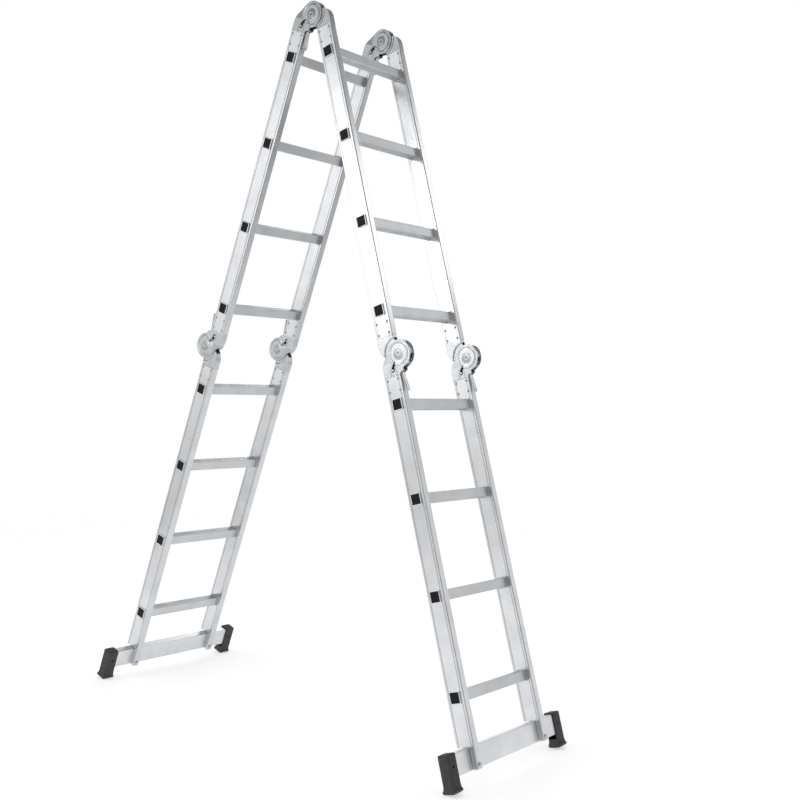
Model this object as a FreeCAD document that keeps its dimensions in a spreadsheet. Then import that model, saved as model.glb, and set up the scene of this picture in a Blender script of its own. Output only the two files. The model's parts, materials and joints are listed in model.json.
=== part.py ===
# Multi-position ladder: four sections of four rungs, joined by three pairs of locking hinges and
# standing as an A on two stabiliser bars. Millimetres, +Z up, origin on the floor under the middle.
#
# Each leg is drawn upright and then leant. In a leg, x runs along the rungs, n is the distance
# outward from the inside of the A, and s is the distance down from the top hinge's axis.
import FreeCAD, Part
import math
import os
import types

import Sketcher

Vector = FreeCAD.Vector

# Driving dimensions: alias, value, meaning. Lengths in millimetres, angles in degrees.
DIMENSIONS = [
    ("lean", 17.75, "angle of each leg from upright"),
    ("stile_spacing", 344, "between the middles of the left and right stiles"),
    ("stile_depth", 60, "stile, front to back"),
    ("stile_width", 24, "stile, across"),
    ("stile_wall", 1.5, "wall of the stile's box section"),
    ("stile_corner", 3, "radius of the stile's long edges"),
    ("groove_inset", 9, "from a stile's edge to the groove along its side"),
    ("groove_width", 1.4, "width of that groove"),
    ("groove_depth", 0.6, "depth of that groove"),
    ("rung_pitch", 280, "from one rung to the next"),
    ("rung_to_pivot", 143, "from a section's end rung to the hinge axis"),
    ("rung_size", 30, "side of the square rung"),
    ("rung_wall", 1.6, "wall of the rung"),
    ("rung_corner", 2, "radius of the rung's long edges"),
    ("rung_fit", 0.1, "gap round a rung in its hole"),
    ("lip_width", 3, "how far the flared end stands out round the rung"),
    ("lip_thickness", 2, "thickness of the flared end"),
    ("lip_corner", 5, "radius of the flared end's corners"),
    ("lip_round", 1, "rounding of the flared end's outer edge"),
    ("collar_width", 2.2, "how far the swaged collar stands out round the rung"),
    ("collar_thickness", 3, "length of the collar along the rung"),
    ("tread_pitch", 3.6, "between the tread grooves"),
    ("tread_width", 1.3, "width of a tread groove"),
    ("tread_depth", 0.7, "depth of a tread groove"),
    ("plug_face", 3, "thickness of a plug's face"),
    ("plug_edge", 2.8, "how far a plug's face stays inside the flared end"),
    ("plug_depth", 12, "length of a plug inside the rung"),
    ("plug_wall", 1.8, "wall of a plug's skirt"),
    ("plug_fit", 0.1, "gap round a plug's skirt"),
    ("plug_bevel", 0.7, "bevel round a plug's face"),
    ("pivot_offset", 8, "from a stile's face to the hinge axis"),
    ("hinge_reach", 62, "from the hinge axis to the end of a stile"),
    ("drum_radius", 42, "radius of a cover leaf's round plates"),
    ("drum_thickness", 22, "a leaf's full thickness outside the stile"),
    ("plate_thickness", 2.5, "thickness of the leaves' plates"),
    ("disc_radius", 39, "radius of a notched disc"),
    ("plate_gap", 0.3, "gap between a notched disc and the cover plates"),
    ("neck_radius", 52, "from the hinge axis to the leaves' full-thickness necks"),
    ("leaf_gap", 0.3, "from the hinge's middle line to a leaf's edge"),
    ("brow_inset", 17, "how far a leaf's outline steps in at the middle line"),
    ("brow_height", 36, "length of the curve that makes that step"),
    ("brow_radius", 46, "radius of that curve"),
    ("shoulder_angle", -146, "direction from the axis to the end of a cover plate's straight shoulder"),
    ("cheek_gap", 2, "from a folded stile's face to the cover leaf's outer edge"),
    ("cheek_drop", 12, "from the stile's end to the foot of the cover leaf's outer edge"),
    ("cheek_slope", 6, "height of the slope from there back to the stile"),
    ("neck_gap", 1, "from a stile's face to the notched leaf's outer edge"),
    ("insert_depth", 50, "length of a leaf inside the stile"),
    ("insert_fit", 0.3, "gap round a leaf inside the stile"),
    ("leaf_rim", 3, "width of the rim that joins a leaf's plates"),
    ("dome_radius", 34, "radius of the raised round on a cover plate"),
    ("dome_height", 1.2, "height of that round"),
    ("edge_round", 1, "rounding of the cover plates' and domes' edges"),
    ("pin_radius", 6, "radius of a hinge pin"),
    ("pin_fit", 0.05, "gap round a hinge pin"),
    ("head_radius", 15, "radius of a hinge pin's head"),
    ("head_height", 2.2, "height of a hinge pin's head"),
    ("head_ring", 10, "radius of the step in the head"),
    ("head_step", 0.9, "depth of that step"),
    ("lock_angle", 130, "direction of the lock bar from the hinge axis"),
    ("bar_radius", 4, "radius of a lock bar"),
    ("bar_rest_gap", 0.35, "gap between a withdrawn lock bar and the disc"),
    ("bar_end", 1, "how far a lock bar stands out of the cover plates"),
    ("lock_fit", 0.3, "gap round a lock bar in its notch and slot"),
    ("lever_arm", 26, "from the lever's pin to the lock bar"),
    ("lever_swing", 8, "turn of the lever from withdrawn to locked"),
    ("lever_pin_radius", 2.5, "radius of the lever's pin"),
    ("lever_eye", 6, "half width of the lever's arm"),
    ("lever_neck", 10, "from the lever's pin to the arm's end on the finger plate"),
    ("lever_start", 7, "from the lever's pin to the start of the finger plate"),
    ("lever_web", 6, "thickness of the lever's arm"),
    ("lever_plate", 3, "thickness of the lever's finger plate"),
    ("lever_width", 16, "width of the finger plate"),
    ("lever_length", 64, "from the lever's pin to the end of the finger plate"),
    ("lever_gap", 0.5, "gap between the locked lever and the stile"),
    ("coil_radius", 4.1, "middle radius of the lock spring's turns"),
    ("coil_wire", 1.3, "side of the lock spring's square wire"),
    ("coil_pitch", 1.5, "from one turn of the lock spring to the next"),
    ("coil_gap", 0.2, "from the lever's arm to the lock spring"),
    ("rivet_radius", 2.5, "radius of a leaf rivet"),
    ("rivet_fit", 0.1, "gap round a leaf rivet"),
    ("rivet_head", 4.5, "radius of a leaf rivet's head"),
    ("rivet_height", 1.6, "height of a leaf rivet's head"),
    ("rivet_inset", 8, "from the stile's end to the first rivets"),
    ("rivet_pitch", 34, "from the first rivets to the second"),
    ("rivet_spread", 20, "from the stile's middle to a rivet"),
    ("rung_to_bar", 136, "from the last rung to the top of the stabiliser bar"),
    ("base_length", 576, "length of a stabiliser bar"),
    ("base_height", 60, "height of a stabiliser bar"),
    ("base_thickness", 26, "thickness of a stabiliser bar"),
    ("base_wall", 2, "wall of a stabiliser bar"),
    ("base_corner", 2.5, "radius of a stabiliser bar's long edges"),
    ("bolt_radius", 4, "radius of a bar bolt"),
    ("bolt_fit", 0.2, "gap round a bar bolt"),
    ("bolt_head", 7.5, "radius of a bar bolt's head"),
    ("bolt_height", 4, "height of a bar bolt's head"),
    ("bolt_rise", 11, "from the bottom of the bar to its bolts"),
    ("washer_radius", 8, "radius of the washer between a bar and a stile's strip"),
    ("washer_thickness", 1, "thickness of that washer"),
    ("notch_gap", 1, "gap between the top of a bar and the stile's notch"),
    ("nut_radius", 7.5, "radius of a bar bolt's nut, across the corners"),
    ("nut_height", 6, "height of that nut"),
    ("foot_length", 40, "length of a foot along the bar"),
    ("foot_wall", 4.5, "wall of a foot round the bar"),
    ("foot_fit", 0.05, "gap between a foot and the bar"),
    ("foot_flare", 5, "how far a foot's sole stands out"),
    ("flare_height", 16, "height of the flared part"),
    ("sole_drop", 42, "from the bottom of the bar to the bottom of the sole"),
    ("sole_radius", 30, "radius of the rounded sole"),
    ("sole_flat", 0.6, "depth of the flat worn across the sole where it stands"),
    ("screw_radius", 3.5, "radius of a foot screw's head"),
    ("screw_height", 1.5, "height of a foot screw's head"),
    ("screw_drop", 30, "from the top of the bar to the foot screw"),
    ("screw_shank", 1.8, "radius of a foot screw's shank"),
    ("screw_fit", 0.1, "gap round that shank"),
]
RUNGS = 4
TREAD_GROOVES = 6
COIL_TURNS = 3
MIDDLE_FOLDS = (0, 90, 180)
BEYOND = 1  # how far a cutting shape runs past what it cuts
ROUNDED = 0.8  # how much of a fastener head's height is rounded
SIDES = (("left", -1), ("right", 1))
LEGS = {"front": -1, "rear": 1}

document = FreeCAD.newDocument("multi_position_ladder")
sheet = document.addObject("Spreadsheet::Sheet", "Sizes")


class Size:
    """A number together with the spreadsheet formula that gives it."""

    def __init__(self, value, formula):
        self.value = value
        self.formula = formula

    def __add__(self, other):
        return joined(self, "+", other)

    def __radd__(self, other):
        return joined(other, "+", self)

    def __sub__(self, other):
        return joined(self, "-", other)

    def __rsub__(self, other):
        return joined(other, "-", self)

    def __mul__(self, other):
        return joined(self, "*", other)

    def __rmul__(self, other):
        return joined(other, "*", self)

    def __truediv__(self, other):
        return joined(self, "/", other)

    def __neg__(self):
        return joined(-1, "*", self)


def sized(number):
    """Any number as a Size."""
    return number if isinstance(number, Size) else Size(float(number), repr(number))


def joined(first, sign, second):
    """Two sizes added, subtracted, multiplied or divided."""
    first, second = sized(first), sized(second)
    values = {
        "+": lambda a, b: a + b,
        "-": lambda a, b: a - b,
        "*": lambda a, b: a * b,
        "/": lambda a, b: a / b,
    }
    return Size(values[sign](first.value, second.value), f"({first.formula} {sign} {second.formula})")


def sine(angle):
    angle = sized(angle)
    return Size(math.sin(math.radians(angle.value)), f"sin({angle.formula})")


def cosine(angle):
    angle = sized(angle)
    return Size(math.cos(math.radians(angle.value)), f"cos({angle.formula})")


def root(number):
    return Size(math.sqrt(number.value), f"sqrt({number.formula})")


def fill_sheet():
    """Write the driving dimensions to the sheet and return them as sizes by name."""
    sizes = {}
    for row, (alias, value, meaning) in enumerate(DIMENSIONS, start=1):
        sheet.set(f"A{row}", meaning)
        sheet.set(f"B{row}", str(value))
        sheet.setAlias(f"B{row}", alias)
        sizes[alias] = Size(float(value), f"Sizes.{alias}")
    document.recompute()
    return types.SimpleNamespace(**sizes)


d = fill_sheet()

# Places along and across a leg, from the top hinge's axis.
stile_inner = d.pivot_offset
stile_outer = stile_inner + d.stile_depth
stile_middle = stile_inner + d.stile_depth / 2
middle_pivot_n = stile_outer + d.pivot_offset
middle_pivot_s = 2 * d.rung_to_pivot + (RUNGS - 1) * d.rung_pitch
last_rung_s = middle_pivot_s + d.rung_to_pivot + (RUNGS - 1) * d.rung_pitch
base_top = last_rung_s + d.rung_to_bar
base_bottom = base_top + d.base_height
base_inner = stile_middle - d.base_thickness / 2
base_outer = stile_middle + d.base_thickness / 2

# Places across the ladder, from its middle.
stile_x = d.stile_spacing / 2
stile_outside = stile_x + d.stile_width / 2
stile_inside = stile_x - d.stile_width / 2
rung_end = stile_outside + d.lip_thickness
foot_end = d.base_length / 2 + d.foot_wall

# The sole is a round about this centre, with a flat where it meets the floor.
sole_centre_s = base_bottom + d.sole_drop - d.sole_radius
pivot_height = (
    sole_centre_s * cosine(d.lean)
    - stile_middle * sine(d.lean)
    + d.sole_radius
    - d.sole_flat
)

# Places in a hinge: half thicknesses, and the lever's pin and the withdrawn lock bar.
drum_half = d.drum_thickness / 2
slot_half = drum_half - d.plate_thickness
disc_half = slot_half - d.plate_gap
disc_slot_half = disc_half - d.plate_thickness
insert_half = d.stile_width / 2 - d.stile_wall - d.insert_fit
lock_travel = d.lever_arm * sine(d.lever_swing)
bar_out = d.disc_radius + d.bar_rest_gap + d.bar_radius
bar_in = bar_out - lock_travel
lever_pin_out = bar_out - lock_travel / 2


def set_size(thing, name, size):
    """Bind a property, or one of a sketch's constraints, to a size."""
    thing.setExpression(name, sized(size).formula)


class Outline:
    """A sketch on one of a body's own planes, with each point tied to the sheet."""

    def __init__(self, body, plane, offset=0):
        self.sketch = body.newObject("Sketcher::SketchObject", f"{body.Label}_outline")
        planes = [feature for feature in body.Origin.OriginFeatures if feature.Role == plane]
        self.sketch.AttachmentSupport = [(planes[0], "")]
        self.sketch.MapMode = "FlatFace"
        set_size(self.sketch, "AttachmentOffset.Base.z", offset)

    def hold(self, kind, edge, end, size):
        """Fix one coordinate of a point by a size."""
        constraint = Sketcher.Constraint(kind, -1, 1, edge, end, size.value)
        number = self.sketch.addConstraint(constraint)
        set_size(self.sketch, f"Constraints[{number}]", size)

    def path(self, points, arcs=None):
        """A closed path through points. arcs gives a radius for each curved edge, which bulges to the
        right of its direction of travel, or to the left if the radius is negative."""
        arcs = arcs or {}
        places = [(sized(a), sized(b)) for a, b in points]
        corners = [Vector(a.value, b.value, 0) for a, b in places]
        edges = []
        for index, start in enumerate(corners):
            end = corners[(index + 1) % len(corners)]
            if index in arcs:
                middle = arc_middle(start, end, sized(arcs[index]).value)
                shape = Part.Arc(start, middle, end)
            else:
                shape = Part.LineSegment(start, end)
            edges.append(self.sketch.addGeometry(shape, False))
        ends = []
        for index, edge in enumerate(edges):
            ends.append(self.edge_ends(edge, corners[index]))
        for index, edge in enumerate(edges):
            following = (index + 1) % len(edges)
            joint = Sketcher.Constraint(
                "Coincident", edge, ends[index][1], edges[following], ends[following][0]
            )
            self.sketch.addConstraint(joint)
            self.hold("DistanceX", edge, ends[index][0], places[index][0])
            self.hold("DistanceY", edge, ends[index][0], places[index][1])
        for index, radius in arcs.items():
            size = sized(radius)
            size = size if size.value > 0 else -size
            number = self.sketch.addConstraint(Sketcher.Constraint("Radius", edges[index], size.value))
            set_size(self.sketch, f"Constraints[{number}]", size)
        return self

    def edge_ends(self, edge, start):
        """Which of an edge's two ends, 1 or 2, lies at its start, and the other one."""
        near = self.sketch.getPoint(edge, 1).distanceToPoint(start) < 1e-6
        return (1, 2) if near else (2, 1)

    def box(self, low_a, high_a, low_b, high_b):
        """A rectangle."""
        return self.path([(low_a, low_b), (high_a, low_b), (high_a, high_b), (low_a, high_b)])

    def square(self, centre, half):
        a, b = centre
        return self.box(a - half, a + half, b - half, b + half)

    def circle(self, centre, radius):
        a, b, size = sized(centre[0]), sized(centre[1]), sized(radius)
        round_edge = Part.Circle(Vector(a.value, b.value, 0), Vector(0, 0, 1), size.value)
        edge = self.sketch.addGeometry(round_edge, False)
        number = self.sketch.addConstraint(Sketcher.Constraint("Radius", edge, size.value))
        set_size(self.sketch, f"Constraints[{number}]", size)
        self.hold("DistanceX", edge, 3, a)
        self.hold("DistanceY", edge, 3, b)
        return self


def arc_middle(start, end, radius):
    """The middle point of an arc that bulges to the right of start to end, or left if negative."""
    chord = end - start
    half = chord.Length / 2
    rise = abs(radius) - math.sqrt(radius * radius - half * half)
    right = Vector(chord.y, -chord.x, 0).normalize()
    return (start + end) / 2 + right * math.copysign(rise, radius)


def new_body(name):
    body = document.addObject("PartDesign::Body", name)
    body.Label = name
    return body


def pad(body, outline, length, symmetric=False, reverse=False):
    """Add an outline's shape to a body."""
    feature = body.newObject("PartDesign::Pad", f"{body.Label}_pad")
    return extrude(feature, outline, length, symmetric, reverse)


def pocket(body, outline, length, symmetric=False, reverse=False):
    """Cut an outline's shape out of a body, and stop if nothing was cut."""
    before = body.Shape.Volume
    feature = body.newObject("PartDesign::Pocket", f"{body.Label}_pocket")
    extrude(feature, outline, length, symmetric, reverse)
    if not body.Shape.Volume < before - 1e-6:
        raise RuntimeError(f"{body.Label}: a pocket cut nothing")
    return feature


def extrude(feature, outline, length, symmetric, reverse):
    feature.Profile = outline.sketch
    feature.SideType = "Symmetric" if symmetric else "One side"
    feature.Reversed = reverse
    set_size(feature, "Length", length)
    document.recompute()
    return feature


def soften(body, kind, size, wanted):
    """Fillet or chamfer those of a body's edges that wanted says."""
    base = body.Tip
    names = [f"Edge{n}" for n, edge in enumerate(base.Shape.Edges, start=1) if wanted(edge)]
    feature = body.newObject(f"PartDesign::{kind}", f"{body.Label}_{kind.lower()}")
    feature.Base = (base, names)
    set_size(feature, "Radius" if kind == "Fillet" else "Size", size)
    document.recompute()
    return feature


def runs_along(axis, least):
    """A test for straight edges along an axis that are at least so long."""

    def test(edge):
        box = edge.BoundBox
        spans = {"x": box.XLength, "y": box.YLength, "z": box.ZLength}
        across = sum(spans.values()) - spans[axis]
        return spans[axis] >= least.value * 0.99 and across < 1e-6

    return test


def lean(body, out):
    """Lean a leg's piece about the top hinge's axis and set it at its height."""
    body.Placement = FreeCAD.Placement(Vector(0, 0, 0), FreeCAD.Rotation(Vector(1, 0, 0), 1))
    set_size(body, "Placement.Rotation.Angle", out * d.lean)
    set_size(body, "Placement.Base.z", pivot_height)
    document.recompute()
    return body


class Section:
    """One of the ladder's four sections: its leg, its rungs and where its stiles run."""

    def __init__(self, leg, level):
        self.name = f"{leg}_{level}"
        self.out = LEGS[leg]
        self.lower = level == "lower"
        first = d.rung_to_pivot + (middle_pivot_s if self.lower else 0)
        self.rungs = [first + number * d.rung_pitch for number in range(RUNGS)]
        self.top = d.hinge_reach + (middle_pivot_s if self.lower else 0)
        self.bottom = base_bottom if self.lower else middle_pivot_s - d.hinge_reach
        # The stabiliser bar's notch opens towards the rear of the ladder on both legs.
        self.strip_outside = self.out < 0

    def at(self, n, s):
        """A place across and along the leg, as the Y and Z of an upright body."""
        return n * self.out, -s


class Hinge:
    """One hinge's axis. p is the distance outward from the axis, away from the stiles, and q the
    distance from the axis towards the leaf's own stile."""

    def __init__(self, section, upper_end):
        self.section = section
        top = section.lower is False and upper_end
        self.n = sized(0) if top else middle_pivot_n
        self.s = sized(0) if top else middle_pivot_s
        self.p_sign = -1 if top else 1
        self.q_sign = 1 if upper_end else -1

    def at(self, p, q):
        return self.section.at(self.n + self.p_sign * p, self.s + self.q_sign * q)

    def turns_right(self):
        """Whether p, q and +X make a right-handed set in the body's own frame."""
        return self.section.out * self.p_sign * self.q_sign < 0


def polar(radius, angle, across=0):
    """A place at a radius and angle from the axis, moved across that direction."""
    return (
        radius * cosine(angle) + across * sine(angle),
        radius * sine(angle) - across * cosine(angle),
    )


def stile(section, side_name, side):
    """A box-section stile with grooved sides, rung holes, and at the bottom the bar's notch."""
    body = new_body(f"{section.name}_{side_name}_stile")
    middle_x = side * stile_x
    middle_y = section.out * stile_middle
    length = section.bottom - section.top
    half_width = d.stile_width / 2
    half_depth = d.stile_depth / 2
    outer = Outline(body, "XY_Plane", -section.top)
    outer.box(middle_x - half_width, middle_x + half_width, middle_y - half_depth, middle_y + half_depth)
    pad(body, outer, length, reverse=True)
    soften(body, "Fillet", d.stile_corner, runs_along("z", length))
    hollow = Outline(body, "XY_Plane", -section.top)
    inner_width = half_width - d.stile_wall
    inner_depth = half_depth - d.stile_wall
    hollow.box(
        middle_x - inner_width, middle_x + inner_width, middle_y - inner_depth, middle_y + inner_depth
    )
    for face in (-1, 1):
        for edge in (-1, 1):
            groove_x = middle_x + face * half_width
            groove_y = middle_y + edge * (half_depth - d.groove_inset)
            hollow.box(
                groove_x - d.groove_depth, groove_x + d.groove_depth,
                groove_y - d.groove_width / 2, groove_y + d.groove_width / 2,
            )
    pocket(body, hollow, length)
    holes = Outline(body, "YZ_Plane", middle_x)
    for s in section.rungs:
        holes.square(section.at(stile_middle, s), d.rung_size / 2 + d.rung_fit)
    for n, s in rivet_places(section):
        holes.circle(section.at(n, s), d.rivet_radius + d.rivet_fit)
    if section.lower:
        low, high = base_inner - d.washer_thickness, stile_outer + BEYOND
        if section.strip_outside:
            low, high = stile_inner - BEYOND, base_outer + d.washer_thickness
        holes.path([
            section.at(low, base_top - d.notch_gap),
            section.at(high, base_top - d.notch_gap),
            section.at(high, base_bottom + BEYOND),
            section.at(low, base_bottom + BEYOND),
        ])
    pocket(body, holes, d.stile_width + 2 * BEYOND, symmetric=True)
    if section.lower:
        drill_for_bolt(body, section, middle_x)
    return lean(body, section.out)


def rivet_places(section):
    """Where the leaf rivets pass through a section's stiles, as n and s."""
    ends = [(section.top, 1)] + ([] if section.lower else [(section.bottom, -1)])
    return [
        (stile_middle + across * d.rivet_spread, end + way * (d.rivet_inset + row * d.rivet_pitch))
        for end, way in ends
        for row in (0, 1)
        for across in (-1, 1)
    ]


def drill_for_bolt(body, section, middle_x):
    """A bolt hole through a stile's remaining strip or the stabiliser bar, front to back."""
    hole = Outline(body, "XZ_Plane")
    hole.circle((middle_x, d.bolt_rise - base_bottom), d.bolt_radius + d.bolt_fit)
    pocket(body, hole, 2 * (stile_outer + BEYOND), symmetric=True)


def rung(section, number):
    """A square rung with tread grooves, a flared lip at each end and a collar inside each stile."""
    body = new_body(f"{section.name}_rung_{number + 1}")
    centre = section.at(stile_middle, section.rungs[number])
    half = d.rung_size / 2
    bore = half - d.rung_wall
    tube = Outline(body, "YZ_Plane").square(centre, half)
    pad(body, tube, 2 * rung_end, symmetric=True)
    soften(body, "Fillet", d.rung_corner, runs_along("x", 2 * rung_end))
    for side in (-1, 1):
        lip = Outline(body, "YZ_Plane", side * stile_outside).square(centre, half + d.lip_width)
        pad(body, lip, d.lip_thickness, reverse=side < 0)
        collar = Outline(body, "YZ_Plane", side * stile_inside).square(centre, half + d.collar_width)
        pad(body, collar, d.collar_thickness, reverse=side > 0)
    soften(body, "Fillet", d.lip_corner, outside_stiles)
    soften(body, "Fillet", d.lip_round, lambda edge: lies_at(edge, rung_end.value))
    hollow = Outline(body, "YZ_Plane").square(centre, bore)
    pocket(body, hollow, 2 * (rung_end + BEYOND), symmetric=True)
    treads = Outline(body, "YZ_Plane")
    middle_y, middle_z = centre
    for face in (-1, 1):
        for groove in range(TREAD_GROOVES):
            y = middle_y + (groove - (TREAD_GROOVES - 1) / 2) * d.tread_pitch
            z = middle_z + face * half
            treads.box(y - d.tread_width / 2, y + d.tread_width / 2, z - d.tread_depth, z + d.tread_depth)
    pocket(body, treads, 2 * (stile_inside - d.collar_thickness), symmetric=True)
    return lean(body, section.out)


def outside_stiles(edge):
    """Whether an edge runs along x outside the stiles."""
    box = edge.BoundBox
    return runs_along("x", d.lip_thickness)(edge) and box.XMin * box.XMax > stile_outside.value ** 2


def rung_plugs(section):
    """The black end plugs of a section's rungs."""
    body = new_body(f"{section.name}_rung_plugs")
    half = d.rung_size / 2
    skirt = half - d.rung_wall - d.plug_fit
    for side in (-1, 1):
        faces = Outline(body, "YZ_Plane", side * rung_end)
        skirts = Outline(body, "YZ_Plane", side * rung_end)
        hollows = Outline(body, "YZ_Plane", side * (rung_end - d.plug_depth))
        for s in section.rungs:
            centre = section.at(stile_middle, s)
            faces.square(centre, half + d.lip_width - d.plug_edge)
            skirts.square(centre, skirt)
            hollows.square(centre, skirt - d.plug_wall)
        pad(body, faces, d.plug_face, reverse=side < 0)
        pad(body, skirts, d.plug_depth, reverse=side > 0)
        pocket(body, hollows, d.plug_depth, reverse=side > 0)
    face_x = (rung_end + d.plug_face).value
    soften(body, "Chamfer", d.plug_bevel, lambda edge: lies_at(edge, face_x))
    return lean(body, section.out)


def lies_at(edge, x):
    """Whether an edge lies in either of the planes at x from the middle."""
    box = edge.BoundBox
    return box.XLength < 1e-6 and abs(abs(box.XMin) - x) < 1e-6


def leaf_rivets(section):
    """The rivets that hold the hinge leaves in a section's stiles."""
    body = new_body(f"{section.name}_leaf_rivets")
    for side in (-1, 1):
        shanks = Outline(body, "YZ_Plane", side * stile_x)
        heads = [Outline(body, "YZ_Plane", side * face) for face in (stile_inside, stile_outside)]
        for n, s in rivet_places(section):
            shanks.circle(section.at(n, s), d.rivet_radius)
            for head in heads:
                head.circle(section.at(n, s), d.rivet_head)
        pad(body, shanks, d.stile_width, symmetric=True)
        pad(body, heads[0], d.rivet_height, reverse=side > 0)
        pad(body, heads[1], d.rivet_height, reverse=side < 0)
    tops = [(stile_inside - d.rivet_height).value, (stile_outside + d.rivet_height).value]
    soften(body, "Fillet", d.rivet_height * ROUNDED, lambda edge: any(lies_at(edge, x) for x in tops))
    return lean(body, section.out)


def leaf_neck(hinge, outer_edge):
    """The outline of a leaf beyond its round, from the hinge's middle line into the stile."""
    back = -(d.pivot_offset + d.stile_depth)
    play = d.stile_wall + d.insert_fit
    end = d.hinge_reach + d.insert_depth
    brow = back + d.brow_inset
    return [
        hinge.at(brow, d.leaf_gap),
        *[hinge.at(p, q) for p, q in outer_edge],
        hinge.at(-d.pivot_offset, d.hinge_reach),
        hinge.at(-d.pivot_offset - play, d.hinge_reach),
        hinge.at(-d.pivot_offset - play, end),
        hinge.at(back + play, end),
        hinge.at(back + play, d.hinge_reach),
        hinge.at(back, d.hinge_reach),
        hinge.at(back, d.brow_height),
    ]


def neck_hollow(hinge, rim, start):
    """The outline of the space inside a leaf's neck, open at the end inside the stile."""
    back = -(d.pivot_offset + d.stile_depth) + rim
    front = -d.pivot_offset - rim - d.stile_wall
    end = d.hinge_reach + d.insert_depth + BEYOND
    return [
        hinge.at(front, start),
        hinge.at(front, end),
        hinge.at(back + d.stile_wall, end),
        hinge.at(back + d.stile_wall, d.brow_height),
        hinge.at(back + d.brow_inset, d.leaf_gap + rim),
    ]


def brow_arc(hinge):
    """The radius of the curve at the end of a neck's outline, signed by the outline's direction."""
    return d.brow_radius if hinge.turns_right() else -d.brow_radius


def thin_insert(body, hinge, middle_x):
    """Take a leaf down to the stile's inside width where it enters the stile."""
    back = -(d.pivot_offset + d.stile_depth) - BEYOND
    for face in (-1, 1):
        sides = Outline(body, "YZ_Plane", middle_x + face * insert_half)
        end = d.hinge_reach + d.insert_depth + BEYOND
        sides.path([
            hinge.at(back, d.hinge_reach),
            hinge.at(sized(0), d.hinge_reach),
            hinge.at(sized(0), end),
            hinge.at(back, end),
        ])
        pocket(body, sides, d.drum_thickness, reverse=face > 0)


def leaf_holes(hinge, holes):
    """The hinge pin's hole and the rivet holes of a leaf."""
    holes.circle(hinge.at(sized(0), sized(0)), d.pin_radius + d.pin_fit)
    for row in (0, 1):
        for across in (-1, 1):
            p = -d.pivot_offset - d.stile_depth / 2 + across * d.rivet_spread
            q = d.hinge_reach + d.rivet_inset + row * d.rivet_pitch
            holes.circle(hinge.at(p, q), d.rivet_radius + d.rivet_fit)
    return holes


def bar_slot(hinge, inner, outer, angle):
    """Corners of a radial slot for the lock bar, between two radii."""
    half = d.bar_radius + d.lock_fit
    corners = [(inner, -half), (outer, -half), (outer, half), (inner, half)]
    return [hinge.at(*polar(radius, angle, across)) for radius, across in corners]


def cover_leaf(hinge, name, side):
    """The leaf with two round cover plates, which carries the lever and its lock bar."""
    body = new_body(name)
    middle_x = side * stile_x
    axis = hinge.at(sized(0), sized(0))
    cheek = d.pivot_offset - d.cheek_gap
    cheek_end = d.hinge_reach - d.cheek_drop
    edge = [
        polar(d.drum_radius, d.shoulder_angle),
        (cheek, d.disc_radius),
        (cheek, cheek_end),
        (-d.pivot_offset, cheek_end + d.cheek_slope),
    ]
    points = leaf_neck(hinge, edge)
    neck = Outline(body, "YZ_Plane", middle_x).path(points, {len(points) - 1: brow_arc(hinge)})
    pad(body, neck, d.drum_thickness, symmetric=True)
    drum = Outline(body, "YZ_Plane", middle_x).circle(axis, d.drum_radius)
    pad(body, drum, d.drum_thickness, symmetric=True)
    thin_insert(body, hinge, middle_x)
    for face in (-1, 1):
        dome = Outline(body, "YZ_Plane", middle_x + face * drum_half).circle(axis, d.dome_radius)
        pad(body, dome, d.dome_height, reverse=face < 0)
    domed = [(middle_x + face * (drum_half + d.dome_height)).value for face in (-1, 1)]
    soften(body, "Fillet", d.edge_round, lambda edge: in_planes(edge, domed))
    hollow = Outline(body, "YZ_Plane", middle_x).path(neck_hollow(hinge, d.leaf_rim, d.disc_radius))
    pocket(body, hollow, 2 * slot_half, symmetric=True)
    opening = Outline(body, "YZ_Plane", middle_x)
    low, high = -d.pivot_offset - d.leaf_rim - d.stile_wall, d.pivot_offset + BEYOND
    reach = d.hinge_reach - d.leaf_rim
    opening.path([
        hinge.at(low, d.disc_radius),
        hinge.at(high, d.disc_radius),
        hinge.at(high, reach),
        hinge.at(low, reach),
    ])
    pocket(body, opening, 2 * slot_half, symmetric=True)
    slot = Outline(body, "YZ_Plane", middle_x).circle(axis, d.neck_radius)
    pocket(body, slot, 2 * slot_half, symmetric=True)
    holes = leaf_holes(hinge, Outline(body, "YZ_Plane", middle_x))
    inner = bar_in - d.bar_radius - d.lock_fit
    outer = bar_out + d.bar_radius + d.lock_fit
    holes.path(bar_slot(hinge, inner, outer, d.lock_angle))
    lever_pin = polar(lever_pin_out, d.lock_angle, d.lever_arm)
    holes.circle(hinge.at(*lever_pin), d.lever_pin_radius + d.pin_fit)
    pocket(body, holes, 2 * d.drum_thickness, symmetric=True)
    return lean(body, hinge.section.out)


def in_planes(edge, planes):
    """Whether an edge lies in one of several planes across X."""
    box = edge.BoundBox
    return box.XLength < 1e-6 and any(abs(box.XMin - x) < 1e-6 for x in planes)


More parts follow.
